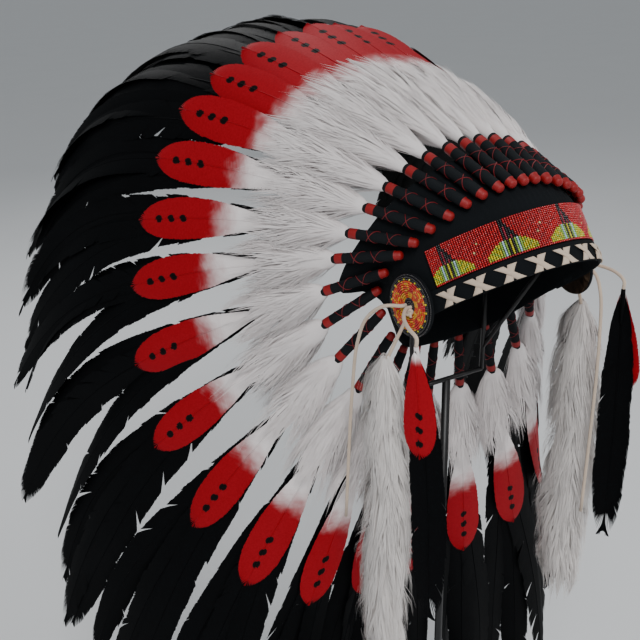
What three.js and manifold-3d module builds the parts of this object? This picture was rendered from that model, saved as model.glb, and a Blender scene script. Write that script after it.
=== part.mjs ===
// Feathered headdress on a plain wire stand.
// Millimetres, +Z up, the front looks toward -Y and the wearer's left is +X.
// The origin is the middle of the underside of the stand's base.

import * as THREE from 'three';
import { mergeVertices } from 'three/addons/utils/BufferGeometryUtils.js';
import Module from 'manifold-3d';

const wasm = await Module();
wasm.setup();

// Crown: an open felt band, an ellipse in plan, tipped back on its stand
const CROWN_HALF_DEPTH = 100;
const CROWN_HALF_WIDTH = 82;
const CROWN_HEIGHT = 68;
const CROWN_PITCH = 36;
const RIM_HEIGHT = 695;
const FELT = 2;
const FELT_STEP = 7.5;
const FELT_BEND = 8;
const FLARE_END = 98;
const SEAT_START = 90;
const SEAT_OUT = 1.4;
const FLARE_FADE = 20;
const FELT_REACH = 0.8;
const BACK_WALL = 30;
const BACK_DROP = 8;
const BACK_STEP = 14;
const BACK_LOW_START = 100;
const BACK_LOW_END = 150;
const GAP = 0.3;
const SLIVER = 0.02;
const FELT_CLEARANCE = 2.5;
const FELT_TUCK = 4;
const TUCK_START = 70;
const HOOP_CLEARANCE = 0.5;

// Bands round the brow
const BAND = 2.5;
const EDGE_BAND_HEIGHT = 17;
const EDGE_BAND_END = 97.5;
const BEAD_BAND_HEIGHT = 31;
const BEAD_BAND_END = 67.5;

// Rosettes over the ends of the brow band
const ROSETTE_RADIUS = 27;
const ROSETTE_DEPTH = 6;
const ROSETTE_ANGLE = 84;
const ROSETTE_HEIGHT = 14;
const ROSETTE_SIDES = 16;

// One feather of the halo, measured along its quill from the crown outward
const WRAP_LENGTH = 66;
const WRAP_RADIUS = 4.75;
const WRAP_SIDES = 6;
const WRAP_STAND_OFF = 6.2;
const FLUFF_OVERLAP = 3;
const FLUFF_LENGTH = 112;
const FLUFF_WIDTH = 29;
const FLUFF_DEPTH = 17;
const FLUFF_SIDES = 5;
const RED_LENGTH = 165;
const RED_WIDTH = 40;
const RED_END = 303;
const BLACK_LENGTH = 475;
const BLACK_WIDTH = 25;
const BLACK_END = 600;
const BLADE = 2;
const HALO_TURN = 16;
const TURN_FADE_LEFT = [20, 80];
const TURN_FADE_RIGHT = [100, 175];
const LEAN = -0.06;
const LEAN_FADE = [90, 160];
const WIDE_ROOM = 17;
const FARTHEST = 1.5;
const SAG = 0.15;
const TIP_BEND = 1.15;
const BEND_EARLY = 30;
const BEND_LATE = 40;
const QUILL_STEP = 8;
const FEATHER_GAP = 1;

// Drops that hang from the rosettes
const FUR_LENGTH = 335;
const FUR_WIDTH = 64;
const FUR_DEPTH = 34;
const FUR_OUT = 24;
const FUR_BACK = 4;
const FUR_ROWS = 3;
const DROP_BELOW = 12;
const THONG_RADIUS = 1.6;
const THONG_OVERLAP = 8;
const DROP_RED_LENGTH = 92;
const DROP_RED_WIDTH = 32;
const DROP_BLACK_LENGTH = 250;
const DROP_BLACK_WIDTH = 25;
const DROP_FEATHER_BELOW = 14;
const DROP_FORWARD = 47;
const DROP_TURN = THREE.MathUtils.degToRad(38);
const DROP_RED_OVER = 0.8;
const DROP_QUILL_RADIUS = 2.2;
const DROP_QUILL_ABOVE = 3;
const DROP_QUILL_BELOW = 30;
const LACE_RADIUS = 1.5;
const LACE_SIDES = 8;
const LACE_STEP = 9;

// Stand
const BASE_RADIUS = 140;
const BASE_THICKNESS = 5;
const BASE_BEVEL = 1;
const BASE_SIDES = 32;
const POLE_RADIUS = 4;
const POLE_SIDES = 10;
const WIRE_RADIUS = 2.3;
const WIRE_SIDES = 6;
const HOOP_HEIGHT = 30;
const CROSSBAR_HALF = 42;
const CROSSBAR_BELOW_RIM = 98;
const RISER_BELOW_RIM = 10;
const RISER_LEAN = 6;
const RISER_IN = 4;
const RISER_ANGLE = 150;
const DIAGONAL_ANGLE = 86;
const DIAGONAL_START = 0.28;
const RIM_BEFORE_POLE = 62;

// Where each quill sits round the crown: degrees from the front, minus on the wearer's right
const QUILL_ANGLES = [
  -165, -151, -136, -122, -107, -91.5, -77.5, -67, -57, -47, -38, -30, -21.8, -15.4, -9, -2.6,
  4.5, 12, 19, 27, 36, 46, 57, 69, 82, 97, 113, 129, 146, 163, 180,
];

// Shape of the halo from its middle round to its back, alike on both sides of the middle.
// height: inner end of the quill, as a share of the crown's height above the lower rim
// rise: degrees that the quill climbs as it runs back
// spread: sine of the angle that it turns to its own side
const HALO = [
  { away: 0, height: 1, rise: 58, spread: 0 },
  { away: 14, height: 0.98, rise: 56.5, spread: 0.14 },
  { away: 22, height: 0.95, rise: 54, spread: 0.21 },
  { away: 31, height: 0.9, rise: 50.5, spread: 0.28 },
  { away: 41, height: 0.86, rise: 44, spread: 0.33 },
  { away: 51, height: 0.81, rise: 34.5, spread: 0.38 },
  { away: 61, height: 0.78, rise: 23.5, spread: 0.42 },
  { away: 75, height: 0.71, rise: 8.6, spread: 0.45 },
  { away: 90, height: 0.62, rise: -8, spread: 0.47 },
  { away: 106, height: 0.44, rise: -24, spread: 0.48 },
  { away: 122, height: 0.2, rise: -37, spread: 0.46 },
  { away: 138, height: 0, rise: -44, spread: 0.38 },
  { away: 154, height: -0.06, rise: -46, spread: 0.25 },
  { away: 180, height: -0.06, rise: -46, spread: 0 },
];

// Width and thickness of a feather along its length, as shares
const RED_SECTIONS = [
  { along: 0, width: 0.2, depth: 1 },
  { along: 0.45, width: 0.8, depth: 1 },
  { along: 0.78, width: 1, depth: 0.8 },
  { along: 1, width: 0.2, depth: 0.5 },
];
const BLACK_SECTIONS = [
  { along: 0, width: 0.16, depth: 1.2 },
  { along: 0.35, width: 0.75, depth: 1 },
  { along: 0.62, width: 1, depth: 1 },
  { along: 0.85, width: 0.85, depth: 0.8 },
  { along: 1, width: 0.16, depth: 0.5 },
];
const FLUFF_SECTIONS = [
  { along: 0, size: 0.4 },
  { along: 0.15, size: 0.9 },
  { along: 0.6, size: 0.95 },
  { along: 1, size: 0.14 },
];
const FUR_SECTIONS = [
  { along: 0, size: 0.2 },
  { along: 0.05, size: 0.62 },
  { along: 0.25, size: 0.8 },
  { along: 0.6, size: 0.78 },
  { along: 0.88, size: 0.72 },
  { along: 1, size: 0.3 },
];

// Each pair of drop feathers swings its own way: how far out its top hangs from the rosette,
// and how far its tip swings to the front
const DROP_SWINGS = {
  right: { out: 30, swing: 15 },
  left: { out: 17, swing: 6 },
};

// Routes of the suede laces, from the knot of each rosette down, chosen by hand in the part's frame
const LACES = {
  lace_long_right: [
    [-89.8, -60, 713], [-93.5, -60.2, 713.2], [-104, -50, 712], [-110, -34, 698], [-112, -22, 672],
    [-112, -12, 620], [-112, 2, 482],
  ],
  lace_short_right: [
    [-89, -66, 713], [-93, -66.2, 713.2], [-105, -79, 712.5], [-113, -97, 711.5],
    [-114.6, -109.5, 708.5], [-114.6, -109.5, 701.9],
  ],
  lace_long_left: [
    [89, -66, 713], [93, -66.2, 713.2], [98, -79, 708], [98, -88, 692], [96, -94, 650],
    [95, -96, 600], [93, -96, 470],
  ],
  lace_short_left: [
    [89.8, -60, 713.5], [94, -60.2, 713.7], [104, -75, 713], [106, -95, 712],
    [101.6, -109.5, 708.5], [101.6, -109.5, 701.9],
  ],
};

const FELT_COLOUR = 0x0c0c10;
const WRAP_COLOUR = 0x101014;
const BEAD_COLOUR = 0xa8101c;
const ROSETTE_COLOUR = 0xc04010;
const FUR_COLOUR = 0xe4e0da;
const DROP_COLOUR = 0x8c0c14;
const LACE_COLOUR = 0xd8c8b0;
const STEEL_COLOUR = 0x080808;

const radians = THREE.MathUtils.degToRad;
const smooth = THREE.MathUtils.smoothstep;

const crown = new THREE.Group();
crown.position.set(0, -RIM_BEFORE_POLE, RIM_HEIGHT);
crown.rotation.x = -radians(CROWN_PITCH);
crown.updateMatrixWorld();

// Which way is down, seen from inside the tipped crown
const down = new THREE.Vector3(0, Math.sin(radians(CROWN_PITCH)), -Math.cos(radians(CROWN_PITCH)));

function material(color, roughness, metalness = 0) {
  return new THREE.MeshStandardMaterial({ color, roughness, metalness });
}

function piece(name, geometry, look) {
  const mesh = new THREE.Mesh(geometry, look);
  mesh.name = name;
  return mesh;
}

const SPLIT = [0, 1, 2, 0, 2, 3];
const OTHER_SPLIT = [0, 1, 3, 1, 2, 3];

// Whether a square's usual split lies deeper than its other one, as on a blade that twists
function bulgesLess(positions, corners) {
  const [a, b, c, d] = corners.map((corner) => new THREE.Vector3().fromArray(positions, corner * 3));
  const outward = new THREE.Vector3().crossVectors(c.clone().sub(a), d.clone().sub(b));
  return a.add(c).dot(outward) < b.add(d).dot(outward);
}

// A closed body through rings of points. loop: its last ring joins its first
// twisted: its sections turn so much that each square needs its fuller split
function loft(rings, { loop = false, twisted = false } = {}) {
  const sides = rings[0].length;
  const positions = rings.flat().flatMap((point) => point.toArray());
  const indices = [];
  const joins = loop ? rings.length : rings.length - 1;
  for (let ring = 0; ring < joins; ring += 1) {
    const here = ring * sides;
    const there = ((ring + 1) % rings.length) * sides;
    for (let side = 0; side < sides; side += 1) {
      const next = (side + 1) % sides;
      const corners = [here + side, here + next, there + next, there + side];
      const split = twisted && bulgesLess(positions, corners) ? OTHER_SPLIT : SPLIT;
      indices.push(...split.map((at) => corners[at]));
    }
  }
  if (!loop) {
    const last = (rings.length - 1) * sides;
    for (let side = 1; side + 1 < sides; side += 1) {
      indices.push(0, side + 1, side, last, last + side, last + side + 1);
    }
  }
  const geometry = new THREE.BufferGeometry();
  geometry.setAttribute('position', new THREE.Float32BufferAttribute(positions, 3));
  geometry.setIndex(indices);
  return geometry;
}

function solid(geometry) {
  const bare = geometry.clone();
  bare.deleteAttribute('normal');
  bare.deleteAttribute('uv');
  const merged = mergeVertices(bare, 1e-4);
  return new wasm.Manifold(new wasm.Mesh({
    numProp: 3,
    vertProperties: merged.attributes.position.array,
    triVerts: new Uint32Array(merged.index.array),
  }));
}

// Joins closed meshes into one, without the slivers where blades nearly touch
function join(geometries) {
  const whole = geometries.map(solid).reduce((sum, next) => sum.add(next));
  const mesh = whole.simplify(SLIVER).getMesh();
  const geometry = new THREE.BufferGeometry();
  geometry.setAttribute('position', new THREE.BufferAttribute(mesh.vertProperties, 3));
  geometry.setIndex(new THREE.BufferAttribute(mesh.triVerts, 1));
  return geometry;
}

// A column of a table at any place along it, smooth through its rows
function read(table, key, column, place) {
  const last = table.length - 1;
  let row = 0;
  while (row < last - 1 && table[row + 1][key] < place) row += 1;
  const from = table[row];
  const to = table[row + 1];
  const before = table[Math.max(row - 1, 0)];
  const after = table[Math.min(row + 2, last)];
  const span = to[key] - from[key];
  const share = THREE.MathUtils.clamp((place - from[key]) / span, 0, 1);
  const startSlope = ((to[column] - before[column]) / (to[key] - before[key])) * span;
  const endSlope = ((after[column] - from[column]) / (after[key] - from[key])) * span;
  const square = share * share;
  const cube = square * share;
  return (
    (2 * cube - 3 * square + 1) * from[column]
    + (cube - 2 * square + share) * startSlope
    + (3 * square - 2 * cube) * to[column]
    + (cube - square) * endSlope
  );
}

// A point of the crown's wall, some way outside its outer face
function wallPoint(angle, outside, height) {
  const turn = radians(angle);
  return new THREE.Vector3(
    (CROWN_HALF_WIDTH + outside) * Math.sin(turn),
    -(CROWN_HALF_DEPTH + outside) * Math.cos(turn),
    height,
  );
}

function wallOutward(angle) {
  const turn = radians(angle);
  return new THREE.Vector3(
    Math.sin(turn) / CROWN_HALF_WIDTH,
    -Math.cos(turn) / CROWN_HALF_DEPTH,
    0,
  ).normalize();
}

// How far an angle lies from the middle of the halo, and on which side of it.
// The halo's middle is turned a little to the wearer's right, and its back is not.
function fromMiddle(angle) {
  const plain = THREE.MathUtils.euclideanModulo(angle + 180, 360) - 180;
  const fade = plain > 0 ? TURN_FADE_LEFT : TURN_FADE_RIGHT;
  const faded = smooth(Math.abs(plain), ...fade);
  const turned = plain + HALO_TURN * (1 - faded);
  return { away: Math.abs(turned), side: Math.sign(turned) };
}

// Over the flared felt the quills stand off the wall; behind it their ends lie on the wall
function quillStart(angle) {
  const { away } = fromMiddle(angle);
  const height = read(HALO, 'away', 'height', away) * CROWN_HEIGHT;
  const out = quillDirection(angle).dot(wallOutward(angle));
  const seated = GAP + WRAP_RADIUS * Math.sqrt(1 - out * out);
  if (away > FLARE_END) return wallPoint(angle, seated, height);
  return wallPoint(angle, away > SEAT_START ? seated + SEAT_OUT : WRAP_STAND_OFF, height);
}

function quillDirection(angle) {
  const { away, side } = fromMiddle(angle);
  const rise = radians(read(HALO, 'away', 'rise', away));
  const lean = LEAN * (1 - smooth(away, ...LEAN_FADE));
  const across = side * read(HALO, 'away', 'spread', away) + lean;
  const along = Math.sqrt(1 - across * across);
  return new THREE.Vector3(across, along * Math.cos(rise), along * Math.sin(rise));
}

// How far the quill has turned toward the ground at a distance along it
function droop(distance) {
  const sag = SAG * smooth(distance, WRAP_LENGTH, RED_END);
  return sag + TIP_BEND * smooth(distance, RED_END - BEND_EARLY, BLACK_END + BEND_LATE);
}

const quills = new Map();

function quill(angle) {
  if (quills.has(angle)) return quills.get(angle);
  const start = quillDirection(angle);
  const points = [quillStart(angle)];
  const steps = Math.ceil(BLACK_END / QUILL_STEP) + 2;
  for (let step = 0; step < steps; step += 1) {
    const turn = droop((step + 0.5) * QUILL_STEP);
    const heading = start.clone().addScaledVector(down, turn).normalize();
    points.push(points[step].clone().addScaledVector(heading, QUILL_STEP));
  }
  quills.set(angle, points);
  return points;
}

function quillPoint(angle, distance) {
  const points = quill(angle);
  const step = THREE.MathUtils.clamp(Math.floor(distance / QUILL_STEP), 0, points.length - 2);
  return points[step].clone().lerp(points[step + 1], distance / QUILL_STEP - step);
}

const NEAR_ALONG = 4;
const NEAR_ANGLE = 1;

// Along the quill, across the fan toward the wearer's right, and out of the fan's front face
function quillFrame(angle, distance) {
  const point = quillPoint(angle, distance);
  const behind = quillPoint(angle, distance - NEAR_ALONG);
  const along = quillPoint(angle, distance + NEAR_ALONG).sub(behind).normalize();
  const beside = quillPoint(angle + NEAR_ANGLE, distance);
  const across = quillPoint(angle - NEAR_ANGLE, distance).sub(beside);
  across.addScaledVector(along, -across.dot(along)).normalize();
  const outward = new THREE.Vector3().crossVectors(along, across);
  return { point, along, across, outward };
}

// Free width on one side of a quill, up to half way to its neighbour
function room(frame, distance, neighbour) {
  const gap = quillPoint(neighbour, distance).sub(frame.point).dot(frame.across);
  return Math.abs(gap) / 2 - FEATHER_GAP;
}

function place(frame, across, lift) {
  return frame.point.clone().addScaledVector(frame.across, across).addScaledVector(frame.outward, lift);
}

// The rooms of a feather on its right and left, and a way to keep an offset inside them
function stopAt(feather, distance) {
  const frame = quillFrame(feather.angle, distance);
  const right = room(frame, distance, feather.rightNeighbour);
  const left = room(frame, distance, feather.leftNeighbour);
  const clamp = (across) => THREE.MathUtils.clamp(across, -left, right);
  return { frame, right, left, clamp };
}

// A ring of points round a quill, wide across the fan and deep out of it
function quillRing(stop, corners, wide, deep) {
  return Array.from({ length: corners }, (_, corner) => {
    const turn = (2 * Math.PI * corner) / corners;
    return place(stop.frame, stop.clamp(wide * Math.cos(turn)), deep * Math.sin(turn));
  });
}

function wrap(feather) {
  const rings = [0, WRAP_LENGTH].map((distance) => {
    const frame = quillFrame(feather.angle, distance);
    return quillRing({ frame, clamp: (across) => across }, WRAP_SIDES, WRAP_RADIUS, WRAP_RADIUS);
  });
  return loft(rings);
}

function fluff(feather) {
  const rings = FLUFF_SECTIONS.map(({ along, size }) => {
    const stop = stopAt(feather, WRAP_LENGTH - FLUFF_OVERLAP + along * FLUFF_LENGTH);
    const half = Math.min(stop.right, stop.left, FLUFF_WIDTH / 2);
    return quillRing(stop, FLUFF_SIDES, half * size, (FLUFF_DEPTH / 2) * size);
  });
  return loft(rings);
}

// Stretch, as shares of its length, over which a blade spreads away from its quill
const SPREAD_OVER = [-0.1, 0.8];

function blade(feather, { sections, length, end, width, across, lift }) {
  const rings = sections.map(({ along, width: share, depth }) => {
    const stop = stopAt(feather, end - (1 - along) * length);
    const free = across > 0 ? stop.right : stop.left;
    const aside = Math.min(Math.abs(across) * free, width * FARTHEST) * smooth(along, ...SPREAD_OVER);
    const centre = Math.sign(across) * aside;
    const half = (width / 2) * share;
    return [
      place(stop.frame, stop.clamp(centre + half), lift),
      place(stop.frame, centre, lift + BLADE * depth),
      place(stop.frame, stop.clamp(centre - half), lift),
    ];
  });
  return loft(rings, { twisted: true });
}

// Feathers of one unit. across: where each lies in the fan, as a share of the free width
// lift: how far in front of the quill, as a share of the fluff's depth
// shorter: how much it lacks, as a share of the black feathers' length
const RED_LIFT = 0.09;
const BLACKS_CLOSE = [
  { across: -0.42, lift: -0.29, shorter: 0 },
  { across: 0.42, lift: -0.14, shorter: 0.06 },
];
const BLACKS_WIDE = [
  { across: -0.72, lift: -0.35, shorter: 0.07 },
  { across: 0, lift: -0.22, shorter: 0 },
  { across: 0.72, lift: -0.095, shorter: 0.04 },
];

function featherUnit(feather) {
  const parts = [wrap(feather), fluff(feather)];
  parts.push(blade(feather, {
    sections: RED_SECTIONS,
    length: RED_LENGTH,
    end: RED_END,
    width: RED_WIDTH,
    across: 0,
    lift: RED_LIFT * FLUFF_DEPTH,
  }));
  const widest = stopAt(feather, RED_END);
  const blacks = Math.min(widest.right, widest.left) > WIDE_ROOM ? BLACKS_WIDE : BLACKS_CLOSE;
  for (const { across, lift, shorter } of blacks) {
    parts.push(blade(feather, {
      sections: BLACK_SECTIONS,
      length: BLACK_LENGTH * (1 - shorter),
      end: BLACK_END - BLACK_LENGTH * shorter,
      width: BLACK_WIDTH,
      across,
      lift: lift * FLUFF_DEPTH,
    }));
  }
  return join(parts);
}

// Every feather of the halo in order round the crown, each with its two neighbours
function halo() {
  const count = QUILL_ANGLES.length;
  return QUILL_ANGLES.map((angle, index) => ({
    angle,
    name: `feather_${String(index + 1).padStart(2, '0')}`,
    rightNeighbour: QUILL_ANGLES[(index + count - 1) % count],
    leftNeighbour: QUILL_ANGLES[(index + 1) % count],
  }));
}

// Felt wall that runs on under the wrapped quills, up to their undersides, and stands free at the back
function feltCrown() {
  const rings = [];
  const under = WRAP_RADIUS * Math.cos(Math.PI / WRAP_SIDES) + GAP;
  for (const { angle, leftNeighbour } of halo()) {
    const next = leftNeighbour < angle ? leftNeighbour + 360 : leftNeighbour;
    for (const column of [angle, (angle + next) / 2]) rings.push(feltColumn(column, under));
  }
  return loft(rings, { loop: true });
}

function feltColumn(angle, under) {
  const { away } = fromMiddle(angle);
  const low = -BACK_DROP * smooth(away, BACK_LOW_START, BACK_LOW_END);
  const spread = 1 - smooth(away, FLARE_END - FLARE_FADE, FLARE_END);
  const reach = (FELT_REACH * WRAP_LENGTH - FELT_BEND) * spread;
  const clearance = FELT_CLEARANCE + FELT_TUCK * smooth(away, TUCK_START, SEAT_START);
  const bend = place(quillFrame(angle, FELT_BEND), 0, -under - FELT_CLEARANCE).z;
  const flared = [0, 0.5, 1].map((share) => {
    const frame = quillFrame(angle, FELT_BEND + share * reach);
    const depth = under + clearance * (1 - share * spread);
    return [place(frame, 0, -depth), place(frame, 0, -depth - FELT)];
  });
  const standing = [0, 0.5, 1].map((share) => {
    const height = low + BACK_STEP + share * BACK_WALL;
    return [wallPoint(angle, 0, height), wallPoint(angle, -FELT, height)];
  });
  const free = away > FLARE_END;
  const top = free ? low + BACK_STEP : bend - FELT_BEND / 2;
  const wall = [low, top].map((height) => [wallPoint(angle, 0, height), wallPoint(angle, -FELT, height)]);
  const stations = [...wall, ...(free ? standing : flared)];
  const outer = stations.map((station) => station[0]);
  const inner = stations.map((station) => station[1]);
  return [...inner, ...outer.reverse()];
}

// A strip that follows the outside of the crown's wall
function browStrip(end, low, high) {
  const rings = [];
  for (let angle = -end; angle <= end; angle += FELT_STEP) {
    rings.push([
      wallPoint(angle, GAP, low),
      wallPoint(angle, GAP, high),
      wallPoint(angle, GAP + BAND, high),
      wallPoint(angle, GAP + BAND, low),
    ]);
  }
  return loft(rings);
}

// A rosette's section from the middle of its back to its dished middle in front, as shares
const ROSETTE_SECTION = [
  { radius: 0, depth: 0 },
  { radius: 0.94, depth: 0 },
  { radius: 1, depth: 0.4 },
  { radius: 0.94, depth: 0.8 },
  { radius: 0.62, depth: 1 },
  { radius: 0.3, depth: 0.7 },
  { radius: 0, depth: 0.7 },
];

function rosette() {
  const profile = ROSETTE_SECTION.map(
    ({ radius, depth }) => new THREE.Vector2(radius * ROSETTE_RADIUS, depth * ROSETTE_DEPTH),
  );
  return new THREE.LatheGeometry(profile, ROSETTE_SIDES);
}

function rosetteSeat(side) {
  const angle = side * ROSETTE_ANGLE;
  return wallPoint(angle, 0, ROSETTE_HEIGHT).addScaledVector(wallOutward(angle), BAND + 2 * GAP);
}

// Locks of fur down each side of a strip, as shares of the strip's length and width
const FUR_FIRST = 0.08;
const FUR_SPACING = 0.24;
const FUR_STAGGER = 0.11;
const FUR_REACH = 0.28;
const FUR_LOCK = [
  { along: 0, out: 0.24, size: 0.2 },
  { along: 0.3, out: 0.32, size: 1 },
  { along: 0.75, out: 0.43, size: 0.8 },
  { along: 1, out: 0.5, size: 0.1 },
];
const FUR_LOCK_WIDTH = 0.12;
const FUR_LOCK_DEPTH = 0.36;
const FUR_LOCK_LEAN = 0.4;
const FUR_CORE_SIDES = 8;

// A strip of long fur: a soft core with locks that hang down over each other
function furStrip() {
  const core = FUR_SECTIONS.map(({ along, size }) => Array.from({ length: FUR_CORE_SIDES }, (_, corner) => {
    const turn = (-2 * Math.PI * corner) / FUR_CORE_SIDES;
    const deep = (FUR_DEPTH / 2) * size * Math.cos(turn);
    const wide = (FUR_WIDTH / 2) * size * Math.sin(turn);
    return new THREE.Vector3(deep, wide, -along * FUR_LENGTH);
  }));
  const parts = [loft(core)];
  for (let row = 0; row < FUR_ROWS; row += 1) {
    parts.push(furLock(FUR_FIRST + FUR_SPACING * row, -1));
    parts.push(furLock(FUR_FIRST + FUR_SPACING * row + FUR_STAGGER, 1));
  }
  return parts;
}

function furLock(top, side) {
  const rings = FUR_LOCK.map(({ along, out, size }) => {
    const height = -(top + along * FUR_REACH) * FUR_LENGTH;
    const centre = new THREE.Vector3(0, side * out * FUR_WIDTH, height);
    const wide = FUR_WIDTH * FUR_LOCK_WIDTH * size;
    const deep = FUR_DEPTH * FUR_LOCK_DEPTH * size;
    return [
      centre.clone().add(new THREE.Vector3(deep, -wide * FUR_LOCK_LEAN, 0)),
      centre.clone().add(new THREE.Vector3(-deep, -wide, 0)),
      centre.clone().add(new THREE.Vector3(0, wide, 0)),
    ];
  });
  return loft(rings);
}

// A round bar between two points
function bar(from, to, radius, sides, overrun = 0) {
  const axis = to.clone().sub(from);
  const length = axis.length() + 2 * overrun;
  const geometry = new THREE.CylinderGeometry(radius, radius, length, sides);
  const upright = new THREE.Vector3(0, 1, 0);
  geometry.applyQuaternion(new THREE.Quaternion().setFromUnitVectors(upright, axis.normalize()));
  const middle = from.clone().add(to).multiplyScalar(0.5);
  geometry.translate(middle.x, middle.y, middle.z);
  return geometry;
}

// Where the thong of the fur lies on the rosette, as shares of its thickness and radius
const THONG_SEAT = 0.95;
const THONG_LOW = 0.45;

// The fur and the two feathers of a drop hang straight down below the rosette
function dropAnchor(side) {
  const angle = side * ROSETTE_ANGLE;
  const seat = crown.localToWorld(rosetteSeat(side));
  const outward = wallOutward(angle).transformDirection(crown.matrixWorld);
  return { seat, outward };
}

function furDrop(side) {
  const { seat, outward } = dropAnchor(side);
  const top = seat.clone().add(new THREE.Vector3(side * FUR_OUT, FUR_BACK, -ROSETTE_RADIUS - DROP_BELOW));
  const parts = furStrip().map((geometry) => geometry.translate(top.x, top.y, top.z));
  const hook = seat.clone().addScaledVector(outward, ROSETTE_DEPTH * THONG_SEAT + GAP + THONG_RADIUS);
  hook.z -= ROSETTE_RADIUS * THONG_LOW;
  const root = top.clone().add(new THREE.Vector3(0, 0, -THONG_OVERLAP));
  parts.push(bar(root, hook, THONG_RADIUS, WIRE_SIDES));
  return join(parts);
}

// A point of a drop feather's middle line, some way below its top
function dropPoint({ top, across, swing }, below) {
  const left = 1 - below / DROP_BLACK_LENGTH;
  const point = top.clone().addScaledVector(across, swing * (1 - left * left));
  point.z -= below;
  return point;
}

function dropBlade(line, { length, width, sections, over }) {
  const { across, outward } = line;
  const rings = sections.map(({ along, width: share, depth }) => {
    const centre = dropPoint(line, along * length).addScaledVector(outward, over);
    const half = (width / 2) * share;
    return [
      centre.clone().addScaledVector(across, -half),
      centre.clone().addScaledVector(outward, BLADE * depth),
      centre.clone().addScaledVector(across, half),
    ];
  });
  return loft(line.side < 0 ? rings.map((ring) => ring.reverse()) : rings);
}

function dropFeathers(side) {
  const { seat } = dropAnchor(side);
  const { out, swing } = DROP_SWINGS[side < 0 ? 'right' : 'left'];
  const line = {
    side,
    swing,
    top: seat.clone().add(new THREE.Vector3(side * out, -DROP_FORWARD, -DROP_FEATHER_BELOW)),
    across: new THREE.Vector3(Math.sin(DROP_TURN), -Math.cos(DROP_TURN), 0),
    outward: new THREE.Vector3(side * Math.cos(DROP_TURN), side * Math.sin(DROP_TURN), 0),
  };
  const quillTop = line.top.clone().add(new THREE.Vector3(0, 0, DROP_QUILL_ABOVE));
  const red = { length: DROP_RED_LENGTH, width: DROP_RED_WIDTH, sections: RED_SECTIONS };
  const black = { length: DROP_BLACK_LENGTH, width: DROP_BLACK_WIDTH, sections: BLACK_SECTIONS };
  return join([
    dropBlade(line, { ...red, over: DROP_RED_OVER }),
    dropBlade(line, { ...black, over: 0 }),
    bar(quillTop, dropPoint(line, DROP_QUILL_BELOW), DROP_QUILL_RADIUS, WIRE_SIDES),
  ]);
}

// A suede lace along its route
function lace(route) {
  const path = new THREE.CatmullRomCurve3(route.map((point) => new THREE.Vector3(...point)));
  const section = new THREE.Shape();
  for (let corner = 0; corner < LACE_SIDES; corner += 1) {
    const turn = (2 * Math.PI * corner) / LACE_SIDES;
    const x = LACE_RADIUS * Math.cos(turn);
    const y = LACE_RADIUS * Math.sin(turn);
    if (corner === 0) section.moveTo(x, y);
    else section.lineTo(x, y);
  }
  section.closePath();
  const steps = Math.ceil(path.getLength() / LACE_STEP);
  const settings = { steps, extrudePath: path, bevelEnabled: false, curveSegments: 1 };
  return new THREE.ExtrudeGeometry(section, settings);
}

// Stand: a hoop inside the crown, carried by bent wires on a crossbar and a pole
function hoopPoint(angle) {
  const inside = -(FELT + HOOP_CLEARANCE + WIRE_RADIUS);
  return crown.localToWorld(wallPoint(angle, inside, HOOP_HEIGHT));
}

function hoop() {
  const rings = [];
  const up = new THREE.Vector3(0, 0, 1).transformDirection(crown.matrixWorld);
  for (let angle = -180; angle < 180; angle += 2 * FELT_STEP) {
    const centre = hoopPoint(angle);
    const outward = wallOutward(angle).transformDirection(crown.matrixWorld);
    rings.push(Array.from({ length: WIRE_SIDES }, (_, corner) => {
      const turn = (2 * Math.PI * (corner + 0.5)) / WIRE_SIDES;
      return centre.clone()
        .addScaledVector(up, WIRE_RADIUS * Math.cos(turn))
        .addScaledVector(outward, WIRE_RADIUS * Math.sin(turn));
    }));
  }
  return loft(rings, { loop: true });
}

function standFrame() {
  const barHeight = RIM_HEIGHT - CROSSBAR_BELOW_RIM;
  const foot = new THREE.Vector3(0, 0, BASE_THICKNESS);
  const parts = [bar(foot, new THREE.Vector3(0, 0, barHeight), POLE_RADIUS, POLE_SIDES), hoop()];
  const ends = [-1, 1].map((side) => new THREE.Vector3(side * CROSSBAR_HALF, 0, barHeight));
  parts.push(bar(ends[0], ends[1], WIRE_RADIUS, WIRE_SIDES, WIRE_RADIUS));
  for (const [index, side] of [-1, 1].entries()) {
    const end = ends[index];
    const kneeHeight = RIM_HEIGHT - RISER_BELOW_RIM;
    const knee = new THREE.Vector3(side * (CROSSBAR_HALF - RISER_IN), -RISER_LEAN, kneeHeight);
    const fork = end.clone().lerp(knee, DIAGONAL_START);
    parts.push(bar(end, knee, WIRE_RADIUS, WIRE_SIDES, WIRE_RADIUS));
    parts.push(bar(knee, hoopPoint(side * RISER_ANGLE), WIRE_RADIUS, WIRE_SIDES));
    parts.push(bar(fork, hoopPoint(side * DIAGONAL_ANGLE), WIRE_RADIUS, WIRE_SIDES));
  }
  return join(parts);
}

function base() {
  const profile = [
    new THREE.Vector2(0, 0),
    new THREE.Vector2(BASE_RADIUS, 0),
    new THREE.Vector2(BASE_RADIUS, BASE_THICKNESS - BASE_BEVEL),
    new THREE.Vector2(BASE_RADIUS - BASE_BEVEL, BASE_THICKNESS),
    new THREE.Vector2(0, BASE_THICKNESS),
  ];
  const geometry = new THREE.LatheGeometry(profile, BASE_SIDES);
  geometry.rotateX(Math.PI / 2);
  return geometry;
}

const felt = material(FELT_COLOUR, 0.95);
const wrapped = material(WRAP_COLOUR, 0.7);
const beads = material(BEAD_COLOUR, 0.3);
const rosetteLook = material(ROSETTE_COLOUR, 0.35);
const fur = material(FUR_COLOUR, 0.9);
const dropLook = material(DROP_COLOUR, 0.6);
const suede = material(LACE_COLOUR, 0.9);
const steel = material(STEEL_COLOUR, 0.4, 0.8);

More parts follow.
